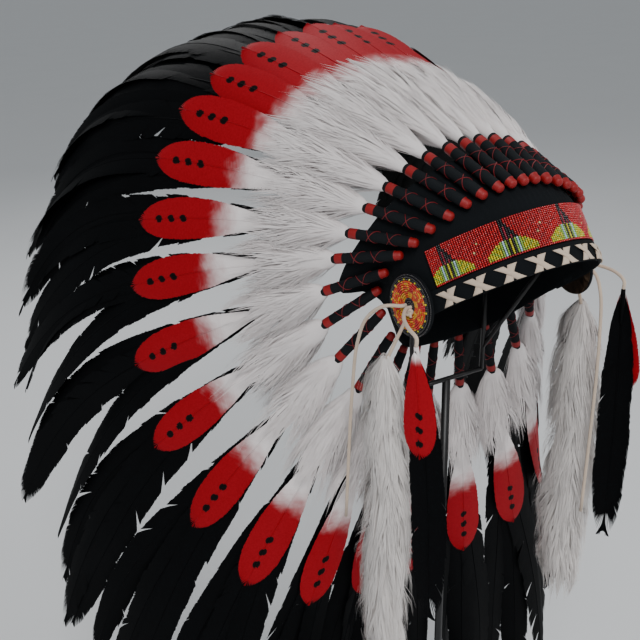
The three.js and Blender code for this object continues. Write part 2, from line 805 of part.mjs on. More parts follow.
for (const feather of halo()) crown.add(piece(feather.name, featherUnit(feather), wrapped));
crown.add(piece('felt_crown', feltCrown(), felt));
crown.add(piece('edge_band', browStrip(EDGE_BAND_END, 0, EDGE_BAND_HEIGHT), felt));
const beadLow = EDGE_BAND_HEIGHT + GAP;
crown.add(piece('beaded_browband', browStrip(BEAD_BAND_END, beadLow, beadLow + BEAD_BAND_HEIGHT), beads));

const group = new THREE.Group();
group.add(crown);
for (const [name, side] of [['left', 1], ['right', -1]]) {
  const disc = piece(`rosette_${name}`, rosette(), rosetteLook);
  disc.position.copy(rosetteSeat(side));
  disc.quaternion.setFromUnitVectors(new THREE.Vector3(0, 1, 0), wallOutward(side * ROSETTE_ANGLE));
  crown.add(disc);
  group.add(piece(`fur_drop_${name}`, furDrop(side), fur));
  group.add(piece(`drop_feathers_${name}`, dropFeathers(side), dropLook));
}
for (const [name, route] of Object.entries(LACES)) group.add(piece(name, lace(route), suede));
group.add(piece('stand_frame', standFrame(), steel));
group.add(piece('stand_base', base(), steel));

export default group;
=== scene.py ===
"""Feathered headdress on a plain wire stand, dressed over its fixed frame.

Shapes are worked out in millimetres in the part's own frame: +Z up, the brow looks toward -Y and
the wearer's left is +X. They become metres when a piece is built.
"""

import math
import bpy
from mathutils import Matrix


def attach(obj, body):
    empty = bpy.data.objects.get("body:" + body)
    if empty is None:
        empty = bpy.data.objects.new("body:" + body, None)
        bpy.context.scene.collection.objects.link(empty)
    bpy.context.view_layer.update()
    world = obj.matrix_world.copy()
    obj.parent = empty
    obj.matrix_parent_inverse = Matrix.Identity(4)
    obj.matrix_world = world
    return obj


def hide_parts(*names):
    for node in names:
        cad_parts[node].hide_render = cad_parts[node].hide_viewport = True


bl_info = {
    "name": "Feathered Headdress",
    "version": (1, 0, 0),
    "blender": (4, 5, 0),
    "location": "View3D > Sidebar > Headdress",
    "description": "Dresses a headdress and its stand in feathers, beads, fur and suede",
    "category": "Add Mesh",
}

import bpy
import numpy as np
from bpy.props import FloatProperty, FloatVectorProperty, IntProperty, PointerProperty
from mathutils import Matrix, Vector

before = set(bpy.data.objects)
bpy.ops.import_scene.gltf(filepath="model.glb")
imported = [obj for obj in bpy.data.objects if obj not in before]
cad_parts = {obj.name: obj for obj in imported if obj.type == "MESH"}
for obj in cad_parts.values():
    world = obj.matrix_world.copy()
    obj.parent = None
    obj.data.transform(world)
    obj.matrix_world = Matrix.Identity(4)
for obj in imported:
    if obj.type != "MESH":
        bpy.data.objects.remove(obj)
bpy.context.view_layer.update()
MM = 0.001

# Crown: an ellipse in plan, tipped back on its stand
CROWN_HALF_DEPTH = 100
CROWN_HALF_WIDTH = 82
CROWN_HEIGHT = 68
CROWN_PITCH = math.radians(36)
RIM_CENTRE = np.array([0, -62, 695])
FELT = 2
GAP = 0.3
BAND = 2.5
EDGE_BAND_HEIGHT = 17
EDGE_BAND_END = 97.5
BEAD_BAND_HEIGHT = 31
BEAD_BAND_END = 67.5
FLARE_END = 98
SEAT_START = 90
SEAT_OUT = 1.4

# Rosettes over the ends of the brow band
ROSETTE_RADIUS = 27
ROSETTE_DEPTH = 6
ROSETTE_ANGLE = 84
ROSETTE_HEIGHT = 14

# One feather unit, measured along its quill from the crown outward
WRAP_LENGTH = 66
WRAP_RADIUS = 4.75
WRAP_STAND_OFF = 6.2
WRAP_SIDES = 18
FLUFF_LENGTH = 112
FLUFF_DEPTH = 17
RED_LENGTH = 165
RED_WIDTH = 40
RED_END = 303
BLACK_LENGTH = 475
BLACK_WIDTH = 25
BLACK_END = 600
BLADE = 2
HALO_TURN = 16
TURN_FADE_LEFT = (20, 80)
TURN_FADE_RIGHT = (100, 175)
LEAN = -0.06
LEAN_FADE = (90, 160)
WIDE_ROOM = 17
FARTHEST = 1.5
SAG = 0.15
TIP_BEND = 1.15
BEND_EARLY = 30
BEND_LATE = 40
QUILL_STEP = 8
NEAR_ALONG = 4
NEAR_ANGLE = 1
FEATHER_GAP = 1

# Drops that hang from the rosettes
FUR_LENGTH = 335
FUR_WIDTH = 64
FUR_DEPTH = 34
FUR_OUT = 24
FUR_BACK = 4
DROP_BELOW = 12
DROP_RED_LENGTH = 92
DROP_RED_WIDTH = 32
DROP_BLACK_LENGTH = 250
DROP_BLACK_WIDTH = 25
DROP_RED_NARROWER = 0.84
DROP_BLACK_WIDER = 1.2
DROP_QUILL_RADII = (1.9, 2.1, 2.1, 2.0, 1.9, 1.7, 1.4, 1.0)
DROP_FEATHER_BELOW = 14
DROP_FORWARD = 47
DROP_TURN = math.radians(38)
DROP_SWINGS = {"right": (30, 15), "left": (17, 6)}
DROP_RED_SWAY = {"right": -4, "left": 9}
LACE_DIAMETER = 3

# Degrees round the crown from the middle of a suede cross to the ends of its two strips
STEEP_STRIP = 2.2
SLANTING_STRIP = -4.4

# Stand
BASE_RADIUS = 140
BASE_THICKNESS = 5
POLE_RADIUS = 4
WIRE_RADIUS = 2.3
HOOP_HEIGHT = 30
HOOP_CLEARANCE = 0.5
CROSSBAR_HALF = 42
CROSSBAR_HEIGHT = 597
KNEE = (38, -6, 685)
RISER_ANGLE = 150
DIAGONAL_ANGLE = 86
DIAGONAL_START = 0.28

# Where each quill sits round the crown: degrees from the front, minus on the wearer's right
QUILL_ANGLES = [
    -165, -151, -136, -122, -107, -91.5, -77.5, -67, -57, -47, -38, -30, -21.8, -15.4, -9, -2.6,
    4.5, 12, 19, 27, 36, 46, 57, 69, 82, 97, 113, 129, 146, 163, 180,
]

# Shape of the halo from its middle round to its back: degrees away from the middle, height of the
# quill's inner end as a share of the crown's, degrees that it climbs, sine of its turn to its side
HALO = np.array([
    (0, 1, 58, 0), (14, 0.98, 56.5, 0.14), (22, 0.95, 54, 0.21), (31, 0.9, 50.5, 0.28),
    (41, 0.86, 44, 0.33), (51, 0.81, 34.5, 0.38), (61, 0.78, 23.5, 0.42), (75, 0.71, 8.6, 0.45),
    (90, 0.62, -8, 0.47), (106, 0.44, -24, 0.48), (122, 0.2, -37, 0.46), (138, 0, -44, 0.38),
    (154, -0.06, -46, 0.25), (180, -0.06, -46, 0),
])
HEIGHT, RISE, SPREAD = 1, 2, 3

# Black feathers of one unit: share of the free width, lift as a share of the fluff's depth,
# and how much shorter than the longest
BLACKS_CLOSE = [(-0.42, -0.29, 0), (0.42, -0.14, 0.06)]
BLACKS_WIDE = [(-0.72, -0.35, 0.07), (0, -0.22, 0), (0.72, -0.095, 0.04)]
RED_LIFT = 0.09

# How far soft pieces spread beyond their plain solids
DOWN_HALF_WIDTH = 21
DOWN_HALF_DEPTH = 11
DOWN_CROWDING = 1.45
FRONT_FLUFF_EXTRA = 0.24
VANE_CROWDING = 9
LOOSE_BLACK_WIDTH = 37
TIP_DROOP = 30

# A wrapped quill: distance along it, radius, and 0 for black cloth or 1 for red
WRAP_SECTIONS = [
    (0, 1.8, 1), (0.8, 3.1, 1), (2.2, 3.8, 1), (6, 3.8, 1), (6.6, 4.3, 0), (20, 4.5, 0),
    (34, 4.35, 0), (48, 4.5, 0), (54.2, 4.35, 0), (54.8, 4.55, 1), (61.6, 4.5, 1),
    (62.2, 4.4, 0), (65.4, 4.1, 0), (66, 2.8, 0),
]

# Outlines of the vanes and soft heads: share of the length, share of the half width
RED_OUTLINE = [
    (0, 0.15), (0.2, 0.5), (0.35, 0.76), (0.5, 0.93), (0.65, 1), (0.78, 0.96), (0.86, 0.83), (0.92, 0.65),
    (0.965, 0.4), (0.99, 0.18), (1, 0.04),
]
BLACK_OUTLINE = [
    (0, 0.2), (0.12, 0.6), (0.3, 0.9), (0.6, 1), (0.8, 0.94), (0.92, 0.7), (0.97, 0.45), (1, 0.16),
]
FLUFF_OUTLINE = [
    (0, 0.3), (0.05, 0.5), (0.12, 0.66), (0.25, 0.82), (0.45, 0.97), (0.65, 1), (0.9, 0.94), (1.2, 0.8),
]
FUR_OUTLINE = [(0, 0.2), (0.05, 0.62), (0.25, 0.84), (0.6, 0.9), (0.88, 0.8), (1, 0.35)]

# Routes of the suede laces, from the knot of each rosette down
LACES = {
    "lace_long_right": [
        (-89.8, -60, 713), (-93.5, -60.2, 713.2), (-104, -50, 712), (-110, -34, 698), (-112, -22, 672),
        (-112, -12, 620), (-112, 2, 482),
    ],
    "lace_short_right": [
        (-89, -66, 713), (-93, -66.2, 713.2), (-105, -79, 712.5), (-113, -97, 711.5),
        (-114.6, -109.5, 708.5), (-114.6, -109.5, 701.9),
    ],
    "lace_long_left": [
        (89, -66, 713), (93, -66.2, 713.2), (98, -79, 708), (98, -88, 692), (96, -94, 650),
        (95, -96, 600), (93, -96, 470),
    ],
    "lace_short_left": [
        (89.8, -60, 713.5), (94, -60.2, 713.7), (104, -75, 713), (106, -95, 712),
        (101.6, -109.5, 708.5), (101.6, -109.5, 701.9),
    ],
}


def smooth(value, low, high):
    share = np.clip((np.asarray(value, float) - low) / (high - low), 0, 1)
    return share * share * (3 - 2 * share)


def dot(first, second):
    return (first * second).sum(-1, keepdims=True)


def unit(vector):
    return vector / np.maximum(np.linalg.norm(vector, axis=-1, keepdims=True), 1e-9)


def outline(table, share):
    """The width of an outline at a share of its length."""
    places, widths = zip(*table)
    return np.interp(share, places, widths)


def read(column, place):
    """A column of the halo's table at any place, smooth through its rows."""
    last = len(HALO) - 1
    row = int(np.clip(np.searchsorted(HALO[:, 0], place) - 1, 0, last - 1))
    low, high = HALO[row], HALO[row + 1]
    before, after = HALO[max(row - 1, 0)], HALO[min(row + 2, last)]
    span = high[0] - low[0]
    share = np.clip((place - low[0]) / span, 0, 1)
    start_slope = (high[column] - before[column]) / (high[0] - before[0]) * span
    end_slope = (after[column] - low[column]) / (after[0] - low[0]) * span
    square, cube = share**2, share**3
    start = (2 * cube - 3 * square + 1) * low[column] + (cube - 2 * square + share) * start_slope
    return start + (3 * square - 2 * cube) * high[column] + (cube - square) * end_slope


def tip_crown(vector):
    """A direction of the crown, tipped back as it sits on the stand."""
    x, y, z = np.moveaxis(np.asarray(vector, float), -1, 0)
    c, s = math.cos(CROWN_PITCH), math.sin(CROWN_PITCH)
    return np.stack([x, y * c + z * s, z * c - y * s], -1)


def on_stand(point):
    """A point of the crown, in the part's frame."""
    return tip_crown(point) + RIM_CENTRE


def wall(angle, outside, height):
    """Points of the crown's wall in the crown, some way outside its outer face."""
    turn = np.radians(angle)
    x = (CROWN_HALF_WIDTH + outside) * np.sin(turn)
    y = -(CROWN_HALF_DEPTH + outside) * np.cos(turn)
    return np.stack(np.broadcast_arrays(x, y, np.asarray(height, float)), -1)


def wall_outward(angle):
    turn = np.radians(angle)
    flat = np.stack([np.sin(turn) / CROWN_HALF_WIDTH, -np.cos(turn) / CROWN_HALF_DEPTH, 0 * turn], -1)
    return unit(flat)


def from_middle(angle):
    """How far an angle lies from the turned middle of the halo, and on which side."""
    plain = (angle + 180) % 360 - 180
    faded = smooth(plain, *TURN_FADE_LEFT) if plain > 0 else smooth(-plain, *TURN_FADE_RIGHT)
    turned = plain + HALO_TURN * (1 - faded)
    return abs(turned), math.copysign(1, turned)


def quill_direction(angle):
    away, side = from_middle(angle)
    rise = math.radians(read(RISE, away))
    across = side * read(SPREAD, away) + LEAN * (1 - smooth(away, *LEAN_FADE))
    along = math.sqrt(1 - across**2)
    return np.array([across, along * math.cos(rise), along * math.sin(rise)])


def quill_start(angle):
    away, _ = from_middle(angle)
    height = read(HEIGHT, away) * CROWN_HEIGHT
    out = float(quill_direction(angle) @ wall_outward(angle))
    seated = GAP + WRAP_RADIUS * math.sqrt(1 - out**2)
    if away > FLARE_END:
        return wall(angle, seated, height)
    return wall(angle, seated + SEAT_OUT if away > SEAT_START else WRAP_STAND_OFF, height)


class Quill:
    """The line of one feather unit from the crown out to its tips."""

    paths = {}

    def __init__(self, index):
        self.angle = QUILL_ANGLES[index]
        self.right_of = QUILL_ANGLES[index - 1]
        self.left_of = QUILL_ANGLES[(index + 1) % len(QUILL_ANGLES)]

    @classmethod
    def path(cls, angle):
        if angle not in cls.paths:
            heading = tip_crown(quill_direction(angle))
            count = math.ceil(BLACK_END / QUILL_STEP) + 2
            middle = (np.arange(count) + 0.5) * QUILL_STEP
            sag = SAG * smooth(middle, WRAP_LENGTH, RED_END)
            bend = TIP_BEND * smooth(middle, RED_END - BEND_EARLY, BLACK_END + BEND_LATE)
            down = np.array([0, 0, -1])
            steps = unit(heading + (sag + bend)[:, None] * down) * QUILL_STEP
            start = on_stand(quill_start(angle))
            cls.paths[angle] = np.vstack([start, start + np.cumsum(steps, 0)])
        return cls.paths[angle]

    @classmethod
    def points(cls, angle, distance):
        path = cls.path(angle)
        steps = np.arange(len(path)) * QUILL_STEP
        return np.stack([np.interp(distance, steps, path[:, axis]) for axis in range(3)], -1)

    def at(self, distance):
        """Point, way along, way across toward the wearer's right, and way out of the fan's front."""
        distance = np.asarray(distance, float)
        point = self.points(self.angle, distance)
        ahead = self.points(self.angle, distance + NEAR_ALONG)
        along = unit(ahead - self.points(self.angle, distance - NEAR_ALONG))
        across = self.points(self.angle - NEAR_ANGLE, distance)
        across = across - self.points(self.angle + NEAR_ANGLE, distance)
        across = unit(across - along * dot(across, along))
        return point, along, across, np.cross(along, across)

    def rooms(self, distance):
        """Free width to the wearer's right and left, up to half way to the next quills."""
        point, _, across, _ = self.at(distance)
        right = np.abs(dot(self.points(self.right_of, distance) - point, across))[..., 0]
        left = np.abs(dot(self.points(self.left_of, distance) - point, across))[..., 0]
        return right / 2 - FEATHER_GAP, left / 2 - FEATHER_GAP


class Hanging:
    """A line that hangs down beside a rosette and swings to the front at its end."""

    def __init__(self, top, side, swing):
        self.top = np.asarray(top, float)
        self.side = side
        self.swing = swing

    def at(self, distance):
        distance = np.asarray(distance, float)
        left = 1 - distance / DROP_BLACK_LENGTH
        across = np.array([math.sin(DROP_TURN), -math.cos(DROP_TURN), 0])
        point = self.top + across * (self.swing * (1 - left**2))[..., None]
        point = point - np.array([0, 0, 1]) * distance[..., None]
        slope = across * (2 * self.swing * left / DROP_BLACK_LENGTH)[..., None]
        along = unit(slope - np.array([0, 0, 1]))
        across = np.broadcast_to(across, along.shape)
        outward = self.side * np.array([math.cos(DROP_TURN), math.sin(DROP_TURN), 0])
        return point, along, across, np.broadcast_to(outward, along.shape)

    def rooms(self, distance):
        wide = np.full(np.shape(distance), 60.0)
        return wide, wide


class Shape:
    """The points, faces, finishes, marks and tints of one piece, gathered in millimetres."""

    def __init__(self):
        self.points, self.marks, self.tints = [], [], []
        self.faces, self.slots = [], []
        self.count = 0

    def add(self, points, faces, slot=0, marks=None, tint=(1, 1, 1)):
        points = np.asarray(points, float).reshape(-1, 3)
        marks = np.zeros((len(points), 2)) if marks is None else np.asarray(marks).reshape(-1, 2)
        tints = np.broadcast_to(np.asarray(tint, float), (len(points), 3))
        self.points.append(points)
        self.marks.append(marks)
        self.tints.append(tints)
        self.faces.extend((np.asarray(face) + self.count).tolist() for face in faces)
        self.slots.extend([slot] * len(faces))
        self.count += len(points)

    def build(self, name, finishes, smooth_faces=True):
        points = np.vstack(self.points) * MM
        mesh = bpy.data.meshes.new(name)
        mesh.from_pydata(points.tolist(), [], self.faces)
        corners = np.zeros(len(mesh.loops), int)
        mesh.loops.foreach_get("vertex_index", corners)
        layer = mesh.uv_layers.new(name="vane")
        layer.data.foreach_set("uv", np.vstack(self.marks)[corners].ravel())
        tints = np.hstack([np.vstack(self.tints), np.ones((len(points), 1))])
        colours = mesh.color_attributes.new("tint", "FLOAT_COLOR", "POINT")
        colours.data.foreach_set("color", tints.ravel())
        for finish in finishes:
            mesh.materials.append(finish)
        mesh.polygons.foreach_set("material_index", self.slots)
        mesh.polygons.foreach_set("use_smooth", [smooth_faces] * len(self.faces))
        made = bpy.data.objects.new(name, mesh)
        bpy.context.scene.collection.objects.link(made)
        return made


def strip_faces(rings, sides, first=0, closed=True, loop=False):
    """Faces between rings of points that follow each other."""
    faces = []
    across = sides if closed else sides - 1
    for ring in range(rings if loop else rings - 1):
        here, there = ring * sides, ((ring + 1) % rings) * sides
        for corner in range(across):
            after = (corner + 1) % sides
            low, high = first + here, first + there
            faces.append((low + corner, low + after, high + after, high + corner))
    return faces


def loft(shape, rings, slot=0, loop=False, marks=None, tint=(1, 1, 1)):
    """A closed body through rings of points."""
    rings = np.asarray(rings, float)
    count, sides = rings.shape[:2]
    faces = strip_faces(count, sides, loop=loop)
    if not loop:
        faces.append(tuple(range(sides))[::-1])
        faces.append(tuple(range((count - 1) * sides, count * sides)))
    shape.add(rings, faces, slot, marks, tint)


def ribbons(shape, points, halves, slot=0, marks=None, tint=(1, 1, 1)):
    """Many thin ribbons at once: points and half widths of each, station by station."""
    count, stations = points.shape[:2]
    both = np.stack([points - halves, points + halves], 2)
    start = np.arange(count)[:, None] * stations * 2 + np.arange(stations - 1)[None, :] * 2
    faces = np.stack([start, start + 1, start + 3, start + 2], -1).reshape(-1, 4)
    marks = None if marks is None else np.repeat(marks[:, :, None], 2, 2)
    if np.ndim(tint) > 1:
        tint = np.repeat(tint, stations * 2, 0)
    shape.add(both, faces, slot, marks, tint)


def tube_rings(path, radius, sides, turn=0.0):
    """Rings round a path that turn as little as they can."""
    path = np.asarray(path, float)
    radius = np.broadcast_to(radius, len(path))
    along = unit(np.gradient(path, axis=0))
    guide = np.array([0.0, 0.0, 1.0]) if abs(along[0, 2]) < 0.9 else np.array([0.0, 1.0, 0.0])
    rings = []
    angle = np.linspace(0, 2 * math.pi, sides, endpoint=False)[:, None] + turn
    for point, way, size in zip(path, along, radius):
        side = unit(np.cross(way, guide))
        up = np.cross(side, way)
        guide = up
        rings.append(point + size * (np.cos(angle) * side + np.sin(angle) * up))
    return np.array(rings)


def clumps(count, size, chance):
    """Values that stay alike over short random runs, as barbs that cling together."""
    values = np.zeros(count)
    place = 0
    while place < count:
        run = int(chance.integers(size // 2, size * 2))
        values[place:place + run] = chance.uniform(-1, 1)
        place += run
    return values


def vane(shape, line, chance, slot, width, length, end, profile, pitch=1.5, aside=0.0, lift=0.0,
         lean=0.9, fork=0.0, split=0.1, sway=0.0, dip=0.0, twist=0.0, droop=0.0):
    """A feather's blade: a thin shaft with barbs that lean toward its tip and part in clumps."""
    count = int(length / pitch)
    root = np.linspace(0.01, 0.98, count)
    reach = np.array([0, 0.4, 0.75, 1])
    half = width / 2

    def weighed_down(points, along, share):
        level = np.sqrt(np.maximum(1 - along[..., 2] ** 2, 0))
        return points - np.array([0, 0, 1]) * (droop * level * share**2.5)[..., None]

    def middle(share, distance):
        right, left = line.rooms(distance)
        free = right if aside > 0 else left
        way = np.minimum(abs(aside) * free, BLACK_WIDTH * FARTHEST) * smooth(share, -0.1, 0.8)
        return (math.copysign(1, aside) * way if aside else 0 * way) + sway * share**2

    for side in (-1, 1):
        loose = clumps(count, 11, chance)
        torn = np.maximum(loose - 0.72, 0) * split * 6
        near_tip = smooth(root, 0.86, 0.98)
        forward = half * lean * (1 + torn + split * loose + 1.6 * fork * near_tip)
        tip_share = np.clip(root + forward / length, 0, 1)
        forward = (tip_share - root) * length
        uneven = 1 + split * (0.5 * loose - torn) - 0.04 * chance.random(count)
        out = half * outline(profile, tip_share) * uneven
        out = np.maximum(out, fork * near_tip * half * 0.4)
        along_feather = (root[:, None] * length + forward[:, None] * reach**1.3)
        share = along_feather / length
        distance = end - length + along_feather
        point, along, across, outward = line.at(distance)
        right, left = line.rooms(distance)
        offset = side * out[:, None] * reach
        roll = twist * share
        place = middle(share, distance) + offset * np.cos(roll)
        place = np.clip(place, -left - VANE_CROWDING, right + VANE_CROWDING)
        cup = lift + dip * share**2 + BLADE * (1 - reach**2) + offset * np.sin(roll)
        points = point + across * place[..., None] + outward * cup[..., None]
        points = weighed_down(points, along, share)
        broad = pitch * np.array([1.1, 1.1, 1.0, 0.55])
        marks = np.stack([offset * MM, share], -1)
        ribbons(shape, points, along * broad[:, None], slot, marks)
    share = np.linspace(0, 0.97, max(int(length / 12), 8))
    distance = end - length + share * length
    point, along, across, outward = line.at(distance)
    rise = lift + dip * share**2 + BLADE
    path = point + across * middle(share, distance)[:, None] + outward * rise[:, None]
    path = weighed_down(path, along, share)
    marks = np.stack([0.001 + 0 * share, share], -1)
    rings = tube_rings(path, np.linspace(0.9, 0.25, len(path)), 4)
    loft(shape, rings, slot, marks=np.repeat(marks, 4, 0))


def tufts(shape, surface, chance, count, strands, slot, spread=(0.035, 0.3), long=(0.25, 0.4),
          reach=(0.7, 1.2), thick=0.8, last=0.7, droop=0.0):
    """Soft strands in tufts. surface gives a point for a share along, a turn round and a size."""
    steps = np.array([0, 0.25, 0.6, 1])
    many = (count, strands, 1)
    root = (chance.random((count, 1, 1)) * last) + chance.uniform(-1, 1, many) * spread[0]
    root = np.maximum(root, 0)
    turn = chance.uniform(0, 2 * math.pi, (count, 1, 1))
    splay = chance.uniform(-1, 1, many)
    drift = chance.uniform(-0.35, 0.35, (count, 1, 1))
    length = chance.uniform(*long, (count, 1, 1)) * chance.uniform(0.75, 1.1, many)
    share = root + length * steps
    round_at = turn + splay * spread[1] * (1 - 0.75 * steps) + drift * steps
    low, high = reach
    far = chance.uniform(0.88, 1.12, (count, 1, 1)) * chance.uniform(0.94, 1.06, many)
    size = low + (high * far - low) * np.sin(steps * math.pi / 2) ** 0.8
    points, around = surface(share, round_at, size)
    points = points - np.array([0, 0, 1]) * (droop * far * steps**2)[..., None]
    points, around = points.reshape(-1, 4, 3), around.reshape(-1, 4, 3)
    halves = around * (thick * np.array([0.8, 1, 0.65, 0.1]))[:, None]
    ribbons(shape, points, halves, slot)


class Value:
    """A number that varies over a surface, held as a shader's socket."""

    def __init__(self, finish, socket):
        self.finish = finish
        self.socket = socket

    def __add__(self, other):
        return self.finish.math("ADD", self, other)

    def __sub__(self, other):
        return self.finish.math("SUBTRACT", self, other)

    def __mul__(self, other):
        return self.finish.math("MULTIPLY", self, other)

    def __rsub__(self, other):
        return self.finish.math("SUBTRACT", other, self)

    __radd__ = __add__
    __rmul__ = __mul__

    def above(self, edge, soft=0.0):
        """1 where this is over an edge and 0 where it is under, with a soft step between."""
        if not soft:
            return self.finish.math("GREATER_THAN", self, edge)
        settings = {"interpolation_type": "SMOOTHSTEP"}
        sockets = {0: self, 1: edge - soft, 2: edge + soft}
        return Value(self.finish, self.finish.node("ShaderNodeMapRange", settings, sockets).outputs[0])

    def below(self, edge, soft=0.0):
        return 1 - self.above(edge, soft)


class Finish:
    """One node material and short ways to add its nodes."""

    def __init__(self, name):
        self.material = bpy.data.materials.new(name)
        self.material.use_nodes = True
        self.tree = self.material.node_tree
        self.shader = next(n for n in self.tree.nodes if n.type == "BSDF_PRINCIPLED")

    def node(self, kind, settings=None, sockets=None):
        """A node of a type, with its settings set first and then its sockets fed."""
        made = self.tree.nodes.new(kind)
        for setting, value in (settings or {}).items():
            if setting == "stops":
                self.set_stops(made.color_ramp, value)
            else:
                setattr(made, setting, value)
        for name, value in (sockets or {}).items():
            self.feed(made.inputs[name], value)
        return made

    @staticmethod
    def set_stops(ramp, stops):
        while len(ramp.elements) < len(stops):
            ramp.elements.new(0.5)
        for element, (place, colour) in zip(ramp.elements, stops):
            element.position = place
            element.color = (*colour, 1)

    def feed(self, socket, value):
        if isinstance(value, Value):
            value = value.socket
        if isinstance(value, bpy.types.NodeSocket):
            self.tree.links.new(value, socket)
        elif socket.type == "RGBA":
            socket.default_value = (*value[:3], 1)
        else:
            socket.default_value = value

    def math(self, operation, *values):
        made = self.node("ShaderNodeMath", {"operation": operation}, dict(enumerate(values)))
        return Value(self, made.outputs[0])

    def mix(self, share, low, high):
        """A colour between two others."""
        settings = {"data_type": "RGBA", "blend_type": "MIX"}
        return self.node("ShaderNodeMix", settings, {0: share, 6: low, 7: high}).outputs[2]

    def place(self):
        return self.node("ShaderNodeTexCoord").outputs["Object"]

    def scaled(self, x, y, z):
        """Object coordinates stretched along the axes, for grain with a direction."""
        settings = {"operation": "MULTIPLY"}
        return self.node("ShaderNodeVectorMath", settings, {0: self.place(), 1: (x, y, z)}).outputs[0]

    def noise(self, scale, detail=3.0, rough=0.55, where=None):
        sockets = {"Vector": where or self.place(), "Scale": scale, "Detail": detail, "Roughness": rough}
        return Value(self, self.node("ShaderNodeTexNoise", None, sockets).outputs[0])

    def wave(self, scale, distortion=0.0, where=None, direction="X"):
        settings = {"wave_type": "BANDS", "bands_direction": direction}
        sockets = {"Vector": where or self.place(), "Scale": scale, "Distortion": distortion}
        return Value(self, self.node("ShaderNodeTexWave", settings, sockets).outputs["Fac"])

    def marks(self):
        """Across and along on a vane, as two values."""
        layer = self.node("ShaderNodeUVMap", {"uv_map": "vane"}).outputs[0]
        parts = self.node("ShaderNodeSeparateXYZ", None, {0: layer})
        return Value(self, parts.outputs[0]), Value(self, parts.outputs[1])

    def tint(self):
        return self.node("ShaderNodeAttribute", {"attribute_name": "tint"}).outputs["Color"]

    def surface(self, colour, rough, bump=None, depth=0.0002, strength=0.5, **fixed):
        """Feeds the shader, sets what is the same all over, and gives the material."""
        self.feed(self.shader.inputs["Base Color"], colour)
        self.feed(self.shader.inputs["Roughness"], rough)
        if bump is not None:
            sockets = {"Height": bump, "Distance": depth, "Strength": strength}
            normal = self.node("ShaderNodeBump", None, sockets).outputs[0]
            self.feed(self.shader.inputs["Normal"], normal)
        for name, value in fixed.items():
            socket = "Specular IOR Level" if name == "specular" else name.replace("_", " ").title()
            self.feed(self.shader.inputs[socket], value)
        return self.material


FINISHES = {}


def finish(maker):
    """Makes a finish the first time that it is asked for, and keeps it."""
    def kept():
        if maker.__name__ not in FINISHES:
            FINISHES[maker.__name__] = maker(Finish(maker.__name__), bpy.context.scene.headdress_colours)
        return FINISHES[maker.__name__]
    return kept


@finish
def black_vane(f, colours):
    """Dyed black vane with a faint blue and green sheen painted along its barbs."""
    grain = f.noise(420, 4)
    patch = f.noise(28, 2)
    colour = f.mix(patch, colours.black_feather, [c * 2 for c in colours.black_feather])
    # Painted sheen: flecks of the grain tinted blue-green stand in for the barbs' iridescent highlights.
    colour = f.mix(grain.above(0.6, 0.08) * 0.3, colour, (0.004, 0.007, 0.008))
    return f.surface(colour, 0.5 + grain * 0.2, grain, 0.0003, 0.35, specular=0.06)


@finish
def red_vane(f, colours):
    """Dyed red vane, pale at its base, with black spots down the middle of its outer half."""
    across, along = f.marks()
    grain = f.noise(520, 4)
    wander = f.noise(70, 2)
    red = f.mix(grain, colours.red_feather, [c * 0.62 for c in colours.red_feather])
    pale = (along + wander * 0.16).below(0.42, 0.12)
    colour = f.mix(pale, red, colours.fluff)
    for place in (0.636, 0.73, 0.824):
        far = f.math("SQRT", across * across * 1.5 + (along - place) * (along - place) * 0.0272)
        colour = f.mix((far + wander * 0.0012).below(0.005, 0.0004), colour, (0.002, 0.001, 0.001))
    return f.surface(colour, 0.5 + grain * 0.2, grain, 0.0003, 0.35, specular=0.12)


@finish
def drop_vane(f, colours):
    """The short red vane of a side drop, with smaller spots."""
    across, along = f.marks()
    grain = f.noise(520, 4)
    wander = f.noise(70, 2)
    red = f.mix(grain, colours.red_feather, [c * 0.7 for c in colours.red_feather])
    colour = f.mix((along + wander * 0.1).below(0.13, 0.05), red, colours.fluff)
    for place in (0.58, 0.71, 0.84):
        far = f.math("SQRT", across * across + (along - place) * (along - place) * 0.00846)
        colour = f.mix((far + wander * 0.001).below(0.0036, 0.0004), colour, (0.002, 0.001, 0.001))
    return f.surface(colour, 0.5 + grain * 0.2, grain, 0.0003, 0.35, specular=0.12)


@finish
def fluff_down(f, colours):
    """Soft white down, a little grey in random patches."""
    patch = f.noise(60, 3)
    fine = f.noise(900, 3)
    colour = f.mix(patch * 0.55 + fine * 0.25, colours.fluff, [c * 0.72 for c in colours.fluff])
    return f.surface(colour, 0.9, fine, 0.0004, 0.4, sheen_weight=0.35, sheen_roughness=0.6)


@finish
def fur_hair(f, colours):
    """Long white fur with warm grey streaks."""
    streak = f.noise(1.0, 4, where=f.scaled(420, 420, 14))
    colour = f.mix(streak, colours.fur, [c * 0.66 for c in colours.fur])
    return f.surface(colour, 0.72, streak, 0.0005, 0.5, sheen_weight=0.3, sheen_roughness=0.5)


@finish
def wrap_cloth(f, colours):
    """Black wool cloth, wound tight round a quill."""
    weave = f.wave(900, 1.5, direction="Z") * 0.5 + f.noise(1400, 3) * 0.5
    worn = f.noise(45, 3)
    colour = f.mix(worn, colours.cloth, [c * 2.6 for c in colours.cloth])
    return f.surface(colour, 0.86, weave, 0.0003, 0.6, specular=0.2)


@finish
def red_cloth(f, colours):
    """Bright red wound thread and cloth at the ends of a wrap."""
    wound = f.noise(1500, 3)
    colour = f.mix(wound, colours.red_cloth, [c * 0.6 for c in colours.red_cloth])
    return f.surface(colour, 0.55, wound, 0.0003, 0.6)


@finish
def red_thread(f, colours):
    """Thin dark red thread, crossed over the wraps."""
    twist = f.noise(2400, 2)
    colour = f.mix(twist, (0.28, 0.005, 0.01), (0.13, 0.003, 0.006))
    return f.surface(colour, 0.55, twist, 0.0001, 0.5)


